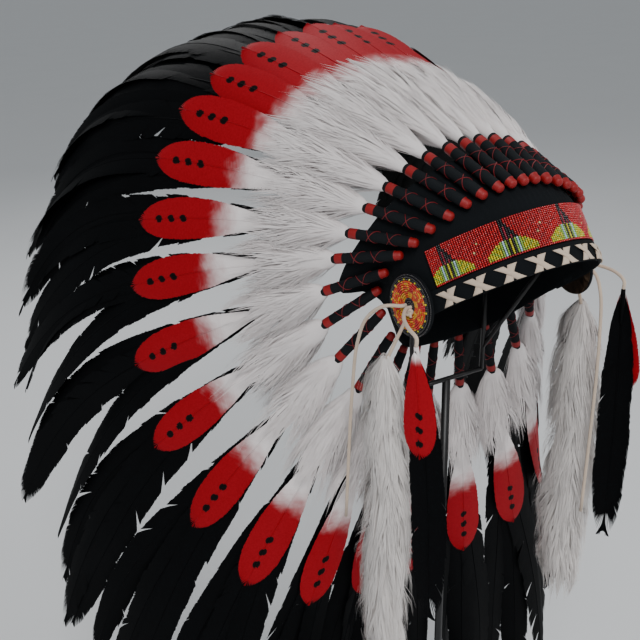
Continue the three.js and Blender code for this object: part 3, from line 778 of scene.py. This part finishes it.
@finish
def crown_felt(f, colours):
    """Matted black wool felt with fine fibres."""
    fibre = f.noise(1700, 5, 0.7)
    cloud = f.noise(30, 3)
    colour = f.mix(cloud, colours.cloth, [c * 2.0 for c in colours.cloth])
    colour = f.mix(fibre.above(0.64, 0.04) * 0.25, colour, (0.02, 0.02, 0.024))
    return f.surface(colour, 0.95, fibre, 0.0005, 0.7, specular=0.15)


@finish
def glass_bead(f, colours):
    """Glass seed beads, each in its own colour, a little uneven."""
    uneven = f.noise(600, 1)
    colour = f.mix(uneven * 0.3, f.tint(), (0.02, 0.01, 0.01))
    return f.surface(colour, 0.12 + uneven * 0.14, coat_weight=0.5, coat_roughness=0.08)


@finish
def suede(f, colours):
    """Cream suede with a short nap, darker in random patches."""
    nap = f.noise(1100, 5, 0.65)
    cloud = f.noise(80, 3)
    colour = f.mix(nap * 0.5 + cloud * 0.4, colours.suede, [c * 0.58 for c in colours.suede])
    return f.surface(colour, 0.93, nap, 0.0004, 0.7, sheen_weight=0.2, sheen_roughness=0.5)


@finish
def backing_leather(f, colours):
    """Tan leather on the back of a rosette."""
    grain = f.noise(500, 5, 0.6)
    colour = f.mix(grain, (0.34, 0.2, 0.12), (0.16, 0.09, 0.05))
    return f.surface(colour, 0.7, grain, 0.0003, 0.5)


@finish
def black_steel(f, colours):
    """Black powder coat with a fine orange-peel and rubbed patches."""
    peel = f.noise(1300, 2)
    rubbed = f.noise(22, 4).above(0.62, 0.05)
    colour = f.mix(rubbed * 0.5, colours.steel, [c * 3 for c in colours.steel])
    return f.surface(colour, 0.42 - rubbed * 0.12, peel, 0.0001, 0.25, metallic=0.0)


@finish
def pale_floor(f, colours):
    """Plain pale studio floor."""
    cloud = f.noise(3, 2)
    return f.surface(f.mix(cloud, colours.stage, [c * 0.96 for c in colours.stage]), 0.8)


class HEADDRESS_PG_sizes(bpy.types.PropertyGroup):
    """Sizes of the dressing, in metres unless they are counts."""

    barb_pitch: FloatProperty(
        name="Barb pitch", description="Room between the barbs of a long feather",
        default=0.0017, min=0.0008, unit="LENGTH",
    )
    bead_width: FloatProperty(
        name="Bead width", description="Width of a seed bead along the brow band",
        default=0.0019, min=0.001, unit="LENGTH",
    )
    bead_rows: IntProperty(
        name="Bead rows", description="Rows of beads in the brow band", default=20, min=8,
    )
    fluff_strands: IntProperty(
        name="Fluff strands", description="Strands of down in one fluff", default=640, min=50,
    )
    fur_strands: IntProperty(
        name="Fur strands", description="Strands of fur in one side drop", default=5200, min=200,
    )
    suede_width: FloatProperty(
        name="Suede strip width", description="Width of a strip of the crossed lacing",
        default=0.0066, min=0.002, unit="LENGTH",
    )
    cross_pitch: FloatProperty(
        name="Cross pitch", description="Degrees round the crown between two crosses of the lacing",
        default=15.2, min=8,
    )


class HEADDRESS_PG_colours(bpy.types.PropertyGroup):
    """Colours of the dressing."""

    black_feather: FloatVectorProperty(
        name="Black feathers", description="Dye of the long feathers", subtype="COLOR",
        default=(0.0009, 0.001, 0.0013),
    )
    red_feather: FloatVectorProperty(
        name="Red feathers", description="Dye of the spotted feathers", subtype="COLOR",
        default=(0.4, 0.003, 0.011),
    )
    fluff: FloatVectorProperty(
        name="Down", description="White down over the quills", subtype="COLOR",
        default=(0.88, 0.82, 0.81),
    )
    fur: FloatVectorProperty(
        name="Fur", description="White fur of the side drops", subtype="COLOR",
        default=(0.88, 0.83, 0.8),
    )
    cloth: FloatVectorProperty(
        name="Black cloth", description="Cloth of the wraps and felt of the crown", subtype="COLOR",
        default=(0.0035, 0.0045, 0.0055),
    )
    red_cloth: FloatVectorProperty(
        name="Red ends", description="Cloth at the ends of the wraps", subtype="COLOR",
        default=(0.34, 0.002, 0.003),
    )
    suede: FloatVectorProperty(
        name="Suede", description="Laces and crossed strips", subtype="COLOR",
        default=(0.78, 0.62, 0.48),
    )
    steel: FloatVectorProperty(
        name="Steel", description="Paint of the stand", subtype="COLOR",
        default=(0.003, 0.003, 0.0035),
    )
    stage: FloatVectorProperty(
        name="Floor", description="Floor and backdrop", subtype="COLOR", default=(0.78, 0.79, 0.8),
    )


def seat(piece, slot, *nodes):
    """Puts a finished piece in the place of its plain solids."""
    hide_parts(*nodes)
    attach(piece, "root")
    return piece


def wrapped_quill(shape, line):
    """Black cloth wound round the quill, red at both ends, with two thin red crosses."""
    turn = np.linspace(0, 2 * math.pi, WRAP_SIDES, endpoint=False)
    rings, slots = [], []
    for distance, radius, slot in WRAP_SECTIONS:
        point, _, across, outward = line.at(float(distance))
        rings.append(point + radius * (np.cos(turn)[:, None] * across + np.sin(turn)[:, None] * outward))
        slots.append(slot)
    for slot in (0, 1):
        faces = []
        for ring in range(len(rings) - 1):
            if slots[ring] == slot:
                faces += strip_faces(2, WRAP_SIDES, first=ring * WRAP_SIDES)
        if slot == 1:
            faces.append(tuple(range(WRAP_SIDES))[::-1])
        else:
            faces.append(tuple(range((len(rings) - 1) * WRAP_SIDES, len(rings) * WRAP_SIDES)))
        shape.add(np.array(rings), faces, slot)
    share = np.linspace(0, 1, 60)
    distance = 14 + share * 38
    point, _, across, outward = line.at(distance)
    for way in (-1, 1):
        turn = math.pi / 2 + way * 2 * math.pi * (2 * share - 0.5)
        path = point + 4.65 * (np.cos(turn)[:, None] * across + np.sin(turn)[:, None] * outward)
        loft(shape, tube_rings(path, 0.36, 3), 2)


def fluff(shape, line, chance, strands):
    """A soft head of down, narrow at the wrap, that frays over the feather's base."""
    start = WRAP_LENGTH - 3
    away, _ = from_middle(line.angle)
    length = FLUFF_LENGTH * (1 + FRONT_FLUFF_EXTRA * (1 - smooth(away, 18, 48)))

    def surface(share, turn, size):
        distance = start + share * length
        point, _, across, outward = line.at(distance)
        right, left = line.rooms(distance)
        grow = outline(FLUFF_OUTLINE, share) * size
        wide = np.minimum((right + left) / 2 * DOWN_CROWDING, DOWN_HALF_WIDTH) * grow
        deep = DOWN_HALF_DEPTH * grow
        c, s = np.cos(turn)[..., None], np.sin(turn)[..., None]
        points = point + wide[..., None] * c * across + deep[..., None] * s * outward
        return points, c * outward - s * across

    turn = np.linspace(0, 2 * math.pi, 16, endpoint=False)
    share = np.array([0, 0.04, 0.1, 0.18, 0.3, 0.45, 0.58, 0.68, 0.76])[:, None]
    size = np.array([0.9, 0.9, 0.88, 0.85, 0.8, 0.74, 0.6, 0.4, 0.15])[:, None]
    size = size * (1 + chance.uniform(-0.07, 0.07, (len(share), len(turn))))
    rings, _ = surface(share + 0 * turn, turn + 0 * share, size)
    loft(shape, rings, 3)
    tufts(shape, surface, chance, strands // 12, 12, 3, spread=(0.05, 0.46), reach=(0.72, 1.18),
          thick=0.62, last=0.62, long=(0.3, 0.46), droop=4)
    tufts(shape, surface, chance, strands // 10, 3, 3, spread=(0.03, 0.2), reach=(0.7, 1.3),
          thick=0.28, last=0.72, long=(0.3, 0.5), droop=7)


class HEADDRESS_OT_feathers(bpy.types.Operator):
    """Build the wrapped, fluffed and plumed feathers of the halo"""

    bl_idname = "headdress.feathers"
    bl_label = "Feathers"

    def execute(self, context):
        sizes = context.scene.headdress_sizes
        pitch = sizes.barb_pitch / MM
        looks = [wrap_cloth(), red_cloth(), red_thread(), fluff_down(), red_vane(), black_vane()]
        for index in range(len(QUILL_ANGLES)):
            chance = np.random.default_rng(200 + index)
            line = Quill(index)
            shape = Shape()
            wrapped_quill(shape, line)
            fluff(shape, line, chance, sizes.fluff_strands)
            vane(shape, line, chance, 4, RED_WIDTH, RED_LENGTH, RED_END, RED_OUTLINE, pitch=1.3,
                 lift=RED_LIFT * FLUFF_DEPTH + 1, lean=0.42, split=0.02, twist=chance.uniform(-0.3, 0.3))
            right, left = line.rooms(RED_END)
            blacks = BLACKS_WIDE if min(right, left) > WIDE_ROOM else BLACKS_CLOSE
            for aside, lift, shorter in blacks:
                shorter = shorter + chance.uniform(-0.045, 0.05)
                vane(shape, line, chance, 5, LOOSE_BLACK_WIDTH, BLACK_LENGTH * (1 - shorter),
                     BLACK_END - BLACK_LENGTH * shorter, BLACK_OUTLINE, pitch=pitch, aside=aside,
                     lift=lift * FLUFF_DEPTH, lean=1.1, fork=0.25, split=0.2,
                     sway=chance.uniform(-26, 26), dip=chance.uniform(-12, 5),
                     twist=chance.uniform(-0.9, 0.9), droop=TIP_DROOP * chance.uniform(0.4, 1.2))
            name = f"feather_{index + 1:02d}"
            seat(shape.build(f"plume_{index + 1:02d}", looks), "feathers", name)
        return {"FINISHED"}


class HEADDRESS_OT_crown(bpy.types.Operator):
    """Round off the felt crown and give it its felt"""

    bl_idname = "headdress.crown"
    bl_label = "Felt crown"

    def execute(self, context):
        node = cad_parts["felt_crown"]
        mesh = node.data.copy()
        mesh.name = "crown_felt_wall"
        mesh.materials.clear()
        mesh.materials.append(crown_felt())
        piece = bpy.data.objects.new("crown_felt_wall", mesh)
        context.scene.collection.objects.link(piece)
        weld = piece.modifiers.new("weld", "WELD")
        weld.merge_threshold = 0.02 * MM
        round_off = piece.modifiers.new("round off", "SUBSURF")
        round_off.levels = round_off.render_levels = 1
        seat(piece, "felt", "felt_crown")
        return {"FINISHED"}


def band_strip(shape, end, low, high, thick, slot=0, steps=160):
    """A strip with softly rounded edges round the outside of the crown."""
    angle = np.linspace(-end, end, steps)
    soft = min(0.5, thick / 3)
    section = [
        (GAP, low), (GAP, high), (GAP + thick - soft, high), (GAP + thick, high - soft * 1.6),
        (GAP + thick, low + soft * 1.6), (GAP + thick - soft, low),
    ]
    rings = np.stack([on_stand(wall(angle, out, height)) for out, height in section], 1)
    loft(shape, rings, slot)


def suede_cross(shape, middle, width):
    """A steep strip of suede and a slanting one over it, cut off level with the band's edges."""
    share = np.linspace(-1, 1, 13)
    height = EDGE_BAND_HEIGHT * (0.39 + 0.37 * share)
    broad = np.degrees(width * (0.5 + 0.16 * share**2) / CROWN_HALF_DEPTH)
    section = [(-1, 0), (-0.9, 0.7), (0, 0.85), (0.9, 0.7), (1, 0), (0, -0.1)]
    for order, lean in enumerate((STEEP_STRIP, SLANTING_STRIP)):
        angle = middle + lean * share
        over = GAP + BAND + 0.25 + 0.95 * order * np.exp(-(share / 0.45) ** 2)
        rings = [on_stand(wall(angle + x * broad, over + y, height)) for x, y in section]
        loft(shape, np.stack(rings, 1), 1)


class HEADDRESS_OT_edge_band(bpy.types.Operator):
    """Build the black edge band and its crossed suede lacing"""

    bl_idname = "headdress.edge_band"
    bl_label = "Edge band"

    def execute(self, context):
        sizes = context.scene.headdress_sizes
        shape = Shape()
        band_strip(shape, EDGE_BAND_END, 0, EDGE_BAND_HEIGHT, BAND * 0.75)
        count = int(62 / sizes.cross_pitch)
        for step in range(-count, count + 1):
            suede_cross(shape, step * sizes.cross_pitch - 1, sizes.suede_width / MM)
        seat(shape.build("laced_edge", [crown_felt(), suede()]), "felt", "edge_band")
        return {"FINISHED"}


def bead_points(sides=6):
    """The points and faces of one seed bead, one unit wide, long and deep."""
    rings = [(-0.5, 0.55), (-0.28, 0.95), (0.28, 0.95), (0.5, 0.55)]
    turn = np.linspace(0, 2 * math.pi, sides, endpoint=False)
    points = [(x, size * math.cos(a) / 2, size * math.sin(a) / 2) for x, size in rings for a in turn]
    faces = strip_faces(len(rings), sides)
    faces.append(tuple(range(sides))[::-1])
    faces.append(tuple(range((len(rings) - 1) * sides, len(rings) * sides)))
    return np.array(points), faces


def add_beads(shape, centre, first, second, third, sizes, tints):
    """Seed beads at their centres, with their hole along the first way."""
    points, faces = bead_points()
    ways = [way * size for way, size in zip((first, second, third), sizes)]
    placed = centre[:, None] + sum(points[None, :, axis, None] * ways[axis][:, None] for axis in range(3))
    count = len(points)
    many = [tuple(np.asarray(face) + bead * count) for bead in range(len(centre)) for face in faces]
    shape.add(placed, many, 0, None, np.repeat(tints, count, 0))


RED = (0.6, 0.008, 0.012)
DEEP_RED = (0.4, 0.004, 0.009)
DARK_RED = (0.3, 0.008, 0.03)
BLACK = (0.006, 0.006, 0.008)
YELLOW = (0.72, 0.62, 0.02)
GREEN = (0.3, 0.5, 0.06)
SKY = (0.5, 0.72, 0.85)
GOLD = (0.85, 0.68, 0.3)
AMBER_YELLOW = (0.8, 0.4, 0.012)
ORANGE = (0.75, 0.07, 0.006)


BAND_REPEAT = 27
DOME = 0.42


def band_colour(column, row, rows):
    """The loomed pattern: a dark tent between two domes, over a red ground with lone gold beads."""
    place = column % BAND_REPEAT - 13
    high = (row + 0.5) / rows
    far = abs(place)
    if high < 0.07:
        return DEEP_RED if far < 3 else RED
    stripe = {0: YELLOW, 1: BLACK, 2: GREEN, 3: SKY, 4: GREEN}
    shoulder = DOME * math.sqrt(max(1 - max(far - 4, 0) / 7, 0)) + 0.03
    if high < shoulder and far < 11:
        return stripe.get(far, YELLOW if (far * 3 + row) % 4 else GREEN)
    slant = 5 * (1 - high) / (1 - DOME) - 2
    if far < 2 and high < DOME:
        return BLACK
    if high >= DOME and (place == -2 or abs(place - slant) < 0.8):
        return BLACK
    if high >= DOME and -2 < place < slant:
        return DARK_RED if place % 2 else BLACK
    if (place, row) in ((-13, int(rows * 0.62)), (12, int(rows * 0.4))):
        return GOLD
    return RED if (column * 7 + row * 3) % 5 else DEEP_RED


class HEADDRESS_OT_brow_band(bpy.types.Operator):
    """Build the loomed bead brow band, bead by bead"""

    bl_idname = "headdress.brow_band"
    bl_label = "Beaded brow band"

    def execute(self, context):
        sizes = context.scene.headdress_sizes
        chance = np.random.default_rng(7)
        low = EDGE_BAND_HEIGHT + GAP
        backing = Shape()
        band_strip(backing, BEAD_BAND_END, low + 0.2, low + BEAD_BAND_HEIGHT - 0.2, 1.1)
        shape = Shape()
        fine = np.linspace(-BEAD_BAND_END + 0.6, BEAD_BAND_END - 0.6, 4000)
        walk = np.linalg.norm(np.diff(wall(fine, GAP + BAND, 0), axis=0), axis=1)
        length = np.concatenate([[0], np.cumsum(walk)])
        columns = int(length[-1] / (sizes.bead_width / MM))
        pitch = length[-1] / columns
        angle = np.interp((np.arange(columns) + 0.5) * pitch, length, fine)
        tall = (BEAD_BAND_HEIGHT - 0.8) / sizes.bead_rows
        for row in range(sizes.bead_rows):
            height = low + 0.4 + (row + 0.5) * tall + chance.uniform(-0.06, 0.06, columns)
            centre = on_stand(wall(angle, GAP + BAND - 0.75, height))
            outward = tip_crown(wall_outward(angle))
            up = np.broadcast_to(tip_crown((0, 0, 1)), centre.shape)
            side = np.cross(up, outward)
            tints = np.array([band_colour(c + 9 - columns, row, sizes.bead_rows) for c in range(columns)])
            tints = tints * chance.uniform(0.75, 1.15, (columns, 1))
            add_beads(shape, centre, up, side, outward, (tall * 0.95, pitch * 0.9, 1.6), tints)
        seat(shape.build("brow_band_beads", [glass_bead()]), "beads", "beaded_browband")
        under = backing.build("brow_band_backing", [crown_felt()])
        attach(under, "root")
        return {"FINISHED"}


def rosette_seat(side):
    """The middle of a rosette's back and its ways outward, up and forward."""
    angle = side * ROSETTE_ANGLE
    outward = wall_outward(np.array(float(angle)))
    centre = on_stand(wall(angle, 0, ROSETTE_HEIGHT) + outward * (BAND + 2 * GAP))
    outward = tip_crown(outward)
    up = tip_crown((0, 0, 1))
    return centre, outward, up, np.cross(up, outward)


def rosette_depth(radius):
    """Thickness of the dished disc at a radius, both as shares."""
    return np.interp(radius, (0, 0.3, 0.62, 0.94, 1), (0.7, 0.7, 1, 0.8, 0.4))


def rosette_colour(turn, ring, rings):
    """Black edge, yellow picots, then petals of red, orange and yellow round a dark middle."""
    if ring >= rings - 3:
        return YELLOW if ring == rings - 3 and int(turn * 60) % 3 == 0 else BLACK
    if ring < 3:
        return BLACK
    petal = abs((turn * 6 + ring * 0.04) % 1 - 0.5) * 2
    if ring < 6:
        return AMBER_YELLOW if petal > 0.45 else ORANGE
    if petal > 0.7:
        return RED
    return AMBER_YELLOW if (ring + int(petal * 4)) % 3 == 0 else ORANGE


class HEADDRESS_OT_rosettes(bpy.types.Operator):
    """Build the beaded rosettes over the ends of the brow band"""

    bl_idname = "headdress.rosettes"
    bl_label = "Rosettes"

    def execute(self, context):
        rings = 14
        chance = np.random.default_rng(11)
        for name, side in (("left", 1), ("right", -1)):
            centre, outward, up, forward = rosette_seat(side)
            beads = Shape()
            for ring in range(rings):
                share = (ring + 1.2) / (rings + 0.7)
                count = max(int(2 * math.pi * share * ROSETTE_RADIUS / 1.75), 6)
                turn = (np.arange(count) + 0.5 * (ring % 2)) / count
                c, s = np.cos(turn * 2 * math.pi)[:, None], np.sin(turn * 2 * math.pi)[:, None]
                depth = rosette_depth(share) * ROSETTE_DEPTH - 0.75
                middle = centre + outward * depth + share * (ROSETTE_RADIUS - 0.9) * (c * forward + s * up)
                around, away = c * up - s * forward, c * forward + s * up
                tints = np.array([rosette_colour(t, ring, rings) for t in turn])
                tints = tints * chance.uniform(0.75, 1.15, (count, 1))
                out = np.broadcast_to(outward, middle.shape)
                add_beads(beads, middle, around, away, out, (1.75, 1.8, 1.5), tints)
            seat(beads.build(f"rosette_beads_{name}", [glass_bead()]), "beads", f"rosette_{name}")
            self.disc(name, centre, outward, up, forward)
            self.knot(name, centre, outward, up, forward)
        return {"FINISHED"}

    @staticmethod
    def disc(name, centre, outward, up, forward):
        shape = Shape()
        turn = np.linspace(0, 2 * math.pi, 64, endpoint=False)[:, None]
        rings = []
        for radius, depth in ((1, 0), (26, 0), (26.4, 1.4), (25, 3.6), (17, 4.6), (8, 3.2), (1, 3.2)):
            rings.append(centre + outward * depth + radius * (np.cos(turn) * forward + np.sin(turn) * up))
        loft(shape, rings[:2], 1)
        loft(shape, rings[1:], 0)
        disc = shape.build(f"rosette_disc_{name}", [crown_felt(), backing_leather()])
        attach(disc, "root")

    @staticmethod
    def knot(name, centre, outward, up, forward):
        shape = Shape()
        t = np.linspace(0, 2 * math.pi, 72, endpoint=False)[:, None]
        across = (np.sin(t) + 2 * np.sin(2 * t)) * 1.15
        high = (np.cos(t) - 2 * np.cos(2 * t)) * 1.0 - 5.8
        deep = 5.9 - np.sin(3 * t) * 0.9
        path = centre + across * forward + high * up + deep * outward
        loft(shape, tube_rings(path, 1.05, 8), 0, loop=True)
        knot = shape.build(f"rosette_knot_{name}", [suede()])
        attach(knot, "root")


class HEADDRESS_OT_fur_drops(bpy.types.Operator):
    """Build the white fur that hangs below each rosette"""

    bl_idname = "headdress.fur_drops"
    bl_label = "Fur drops"

    def execute(self, context):
        strands = context.scene.headdress_sizes.fur_strands
        for name, side in (("left", 1), ("right", -1)):
            chance = np.random.default_rng(31 + side)
            centre, outward, _, _ = rosette_seat(side)
            top = centre + np.array([side * FUR_OUT, FUR_BACK, -ROSETTE_RADIUS - DROP_BELOW])
            shape = Shape()
            self.core(shape, top)
            surface = self.surface(top)
            tufts(shape, surface, chance, strands // 16, 16, 0, spread=(0.02, 0.3), reach=(0.6, 1.05),
                  thick=0.6, last=0.86, long=(0.09, 0.16))
            tufts(shape, surface, chance, strands // 24, 4, 0, spread=(0.012, 0.16), reach=(0.6, 1.3),
                  thick=0.3, last=0.9, long=(0.07, 0.13))
            hook = centre + outward * (ROSETTE_DEPTH * 0.95 + GAP + 1.6)
            hook = hook - np.array([0, 0, ROSETTE_RADIUS * 0.45])
            path = np.linspace(top - np.array([0, 0, 8]), hook, 8)
            loft(shape, tube_rings(path, 1.5, 10), 1)
            piece = shape.build(f"fur_strip_{name}", [fur_hair(), suede()])
            seat(piece, "fur", f"fur_drop_{name}")
        return {"FINISHED"}

    @staticmethod
    def core(shape, top):
        turn = np.linspace(0, 2 * math.pi, 16, endpoint=False)[:, None]
        rings = []
        for share in np.linspace(0.01, 0.93, 14):
            size = outline(FUR_OUTLINE, share) * 0.62
            wide, deep = FUR_WIDTH / 2 * size, FUR_DEPTH / 2 * size
            flat = np.hstack([deep * np.cos(turn), wide * np.sin(turn), 0 * turn - share * FUR_LENGTH])
            rings.append(top + flat)
        loft(shape, rings[::-1], 0)

    @staticmethod
    def surface(top):
        def at(share, turn, size):
            grow = outline(FUR_OUTLINE, share) * size
            deep, wide = np.cos(turn) * FUR_DEPTH / 2 * grow, np.sin(turn) * FUR_WIDTH / 2 * grow
            wave = 2.5 * np.sin(share * 11)
            points = top + np.stack([deep, wide + wave, -share * FUR_LENGTH], -1)
            return points, np.stack([-np.sin(turn), np.cos(turn), 0 * turn], -1)
        return at


class HEADDRESS_OT_drop_feathers(bpy.types.Operator):
    """Build the red and black feathers that hang in front of the fur"""

    bl_idname = "headdress.drop_feathers"
    bl_label = "Drop feathers"

    def execute(self, context):
        for name, side in (("left", 1), ("right", -1)):
            chance = np.random.default_rng(51 + side)
            centre, _, _, _ = rosette_seat(side)
            out, swing = DROP_SWINGS[name]
            top = centre + np.array([side * out, -DROP_FORWARD, -DROP_FEATHER_BELOW])
            shape = Shape()
            line = Hanging(top, side, swing)
            vane(shape, line, chance, 0, DROP_RED_WIDTH * DROP_RED_NARROWER, DROP_RED_LENGTH,
                 DROP_RED_LENGTH, RED_OUTLINE, pitch=1.1, lift=2.4, lean=0.45, split=0.02, sway=DROP_RED_SWAY[name])
            vane(shape, line, chance, 1, DROP_BLACK_WIDTH * DROP_BLACK_WIDER, DROP_BLACK_LENGTH,
                 DROP_BLACK_LENGTH, BLACK_OUTLINE, pitch=1.4, lean=1.3, fork=1.0, split=0.12)
            path = np.linspace(top + np.array([0, 0, 3]), line.at(np.array(30.0))[0], 8)
            quill_look = 2 if side < 0 else 1
            loft(shape, tube_rings(path, DROP_QUILL_RADII, 10), quill_look)
            looks = [drop_vane(), black_vane(), fluff_down()]
            seat(shape.build(f"drop_plumes_{name}", looks), "feathers", f"drop_feathers_{name}")
        return {"FINISHED"}


def lace_path(points, count):
    """A smooth curve through the chosen points of a lace."""
    points = np.asarray(points, float)
    steps = np.sqrt(np.linalg.norm(np.diff(points, axis=0), axis=1))
    before, after = 2 * points[0] - points[1], 2 * points[-1] - points[-2]
    padded = np.vstack([before, points, after])
    gaps = np.concatenate([[steps[0]], steps, [steps[-1]]])
    path = []
    for index in range(len(points) - 1):
        p0, p1, p2, p3 = padded[index:index + 4]
        g0, g1, g2 = gaps[index:index + 3]
        start = ((p1 - p0) / g0 - (p2 - p0) / (g0 + g1) + (p2 - p1) / g1) * g1
        finish_way = ((p2 - p1) / g1 - (p3 - p1) / (g1 + g2) + (p3 - p2) / g2) * g1
        for t in np.linspace(0, 1, count, endpoint=False):
            path.append(
                (2 * t**3 - 3 * t**2 + 1) * p1 + (t**3 - 2 * t**2 + t) * start
                + (3 * t**2 - 2 * t**3) * p2 + (t**3 - t**2) * finish_way
            )
    path.append(points[-1])
    return np.array(path)


class HEADDRESS_OT_laces(bpy.types.Operator):
    """Build the suede laces that hang from the rosettes"""

    bl_idname = "headdress.laces"
    bl_label = "Laces"

    def execute(self, context):
        for name, points in LACES.items():
            path = lace_path(points, 7)
            shape = Shape()
            loft(shape, tube_rings(path, LACE_DIAMETER / 2, 12), 0)
            piece = seat(shape.build(f"suede_{name}", [suede()]), "suede", name)
        return {"FINISHED"}


class HEADDRESS_OT_stand(bpy.types.Operator):
    """Build the wire stand and its round base"""

    bl_idname = "headdress.stand"
    bl_label = "Stand"

    def execute(self, context):
        shape = Shape()
        height = CROSSBAR_HEIGHT
        self.bar(shape, (0, 0, BASE_THICKNESS), (0, 0, height), POLE_RADIUS)
        self.bar(shape, (-CROSSBAR_HALF, 0, height), (CROSSBAR_HALF, 0, height), WIRE_RADIUS)
        for side in (-1, 1):
            end = np.array([side * CROSSBAR_HALF, 0, height])
            knee = np.array([side * KNEE[0], KNEE[1], KNEE[2]])
            self.bar(shape, end, knee, WIRE_RADIUS)
            self.bar(shape, knee, self.hoop(side * RISER_ANGLE), WIRE_RADIUS)
            self.bar(shape, end + (knee - end) * DIAGONAL_START, self.hoop(side * DIAGONAL_ANGLE), WIRE_RADIUS)
        ring = self.hoop(np.linspace(-180, 180, 96, endpoint=False))
        loft(shape, tube_rings(ring, WIRE_RADIUS, 14), 0, loop=True)
        seat(shape.build("stand_wires", [black_steel()]), "steel", "stand_frame")
        plate = Shape()
        turn = np.linspace(0, 2 * math.pi, 128, endpoint=False)[:, None]
        around = np.hstack([np.cos(turn), np.sin(turn), 0 * turn])
        rings = []
        edge = [(-0.6, 0), (0, 0.6), (0, 3.9), (-0.4, 4.6), (-1.2, BASE_THICKNESS)]
        profile = [(2, 0)] + [(BASE_RADIUS + inset, level) for inset, level in edge]
        profile += [(60, BASE_THICKNESS), (2, BASE_THICKNESS)]
        for radius, level in profile:
            rings.append(around * radius + np.array([0, 0, level]))
        loft(plate, rings, 0)
        seat(plate.build("stand_plate", [black_steel()]), "steel", "stand_base")
        return {"FINISHED"}

    @staticmethod
    def hoop(angle):
        return on_stand(wall(angle, -(FELT + HOOP_CLEARANCE + WIRE_RADIUS), HOOP_HEIGHT))

    @staticmethod
    def bar(shape, start, end, radius):
        start, end = np.asarray(start, float), np.asarray(end, float)
        share = np.array([0, 0.5, 1])[:, None]
        loft(shape, tube_rings(start + (end - start) * share, radius, 16), 0)


# The photograph's camera in the part's frame, in millimetres
CAMERA_PLACE = (-474.3, -608, 985.3)
CAMERA_RIGHT = (0.867, -0.496, -0.026)
CAMERA_UP = (0.215, 0.328, 0.92)
CAMERA_LENS = 50.6


class HEADDRESS_OT_stage(bpy.types.Operator):
    """Set the floor, the soft lights and the camera"""

    bl_idname = "headdress.stage"
    bl_label = "Stage"

    def execute(self, context):
        self.floor(context)
        self.lights(context)
        self.camera(context)
        return {"FINISHED"}

    @staticmethod
    def floor(context):
        shape = Shape()
        wide = 60000
        corners = [(-wide, -wide, 0), (wide, -wide, 0), (wide, wide, 0), (-wide, wide, 0)]
        shape.add(corners, [(0, 1, 2, 3)])
        floor = shape.build("floor", [pale_floor()])

    @staticmethod
    def lights(context):
        world = bpy.data.worlds.new("studio")
        world.use_nodes = True
        world.node_tree.nodes["Background"].inputs["Color"].default_value = (0.86, 0.9, 0.93, 1)
        world.node_tree.nodes["Background"].inputs["Strength"].default_value = 0.4
        context.scene.world = world
        lamps = (
            ("key", (-1.0, -1.7, 2.4), 1.0, 46),
            ("fill", (1.9, -1.1, 1.4), 1.4, 14),
            ("rim", (0.4, 2.0, 2.2), 1.2, 22),
        )
        for name, place, size, power in lamps:
            data = bpy.data.lights.new(name, "AREA")
            data.size = size
            data.energy = power
            lamp = bpy.data.objects.new(name, data)
            context.scene.collection.objects.link(lamp)
            lamp.location = place
            way = Vector((0, 0, 0.6)) - lamp.location
            lamp.rotation_euler = way.to_track_quat("-Z", "Y").to_euler()

    @staticmethod
    def camera(context):
        data = bpy.data.cameras.new("view")
        data.lens = CAMERA_LENS
        data.sensor_width = 36
        data.clip_start = 0.05
        camera = bpy.data.objects.new("view", data)
        context.scene.collection.objects.link(camera)
        right = Vector(CAMERA_RIGHT).normalized()
        back = right.cross(Vector(CAMERA_UP)).normalized()
        up = back.cross(right)
        turn = Matrix((right, up, back)).transposed().to_4x4()
        camera.matrix_world = Matrix.Translation(Vector(CAMERA_PLACE) * MM) @ turn
        context.scene.camera = camera


class HEADDRESS_PT_panel(bpy.types.Panel):
    """The pieces of the headdress, each with its own button"""

    bl_idname = "HEADDRESS_PT_panel"
    bl_label = "Headdress"
    bl_space_type = "VIEW_3D"
    bl_region_type = "UI"
    bl_category = "Headdress"

    def draw(self, context):
        for name in ("headdress_sizes", "headdress_colours"):
            group = getattr(context.scene, name)
            for key in group.bl_rna.properties.keys():
                if key not in ("rna_type", "name"):
                    self.layout.prop(group, key)
        for operator in OPERATORS:
            self.layout.operator(operator.bl_idname)


OPERATORS = (
    HEADDRESS_OT_stage,
    HEADDRESS_OT_laces,
    HEADDRESS_OT_stand,
    HEADDRESS_OT_crown,
    HEADDRESS_OT_edge_band,
    HEADDRESS_OT_brow_band,
    HEADDRESS_OT_rosettes,
    HEADDRESS_OT_feathers,
    HEADDRESS_OT_fur_drops,
    HEADDRESS_OT_drop_feathers,
)
CLASSES = (HEADDRESS_PG_sizes, HEADDRESS_PG_colours, *OPERATORS, HEADDRESS_PT_panel)


def register():
    for kind in CLASSES:
        bpy.utils.register_class(kind)
    bpy.types.Scene.headdress_sizes = PointerProperty(type=HEADDRESS_PG_sizes)
    bpy.types.Scene.headdress_colours = PointerProperty(type=HEADDRESS_PG_colours)


def unregister():
    del bpy.types.Scene.headdress_colours
    del bpy.types.Scene.headdress_sizes
    for kind in reversed(CLASSES):
        bpy.utils.unregister_class(kind)


def main():
    register()
    for operator in OPERATORS:
        group, name = operator.bl_idname.split(".")
        getattr(getattr(bpy.ops, group), name)()


if __name__ == "__main__":
    main()
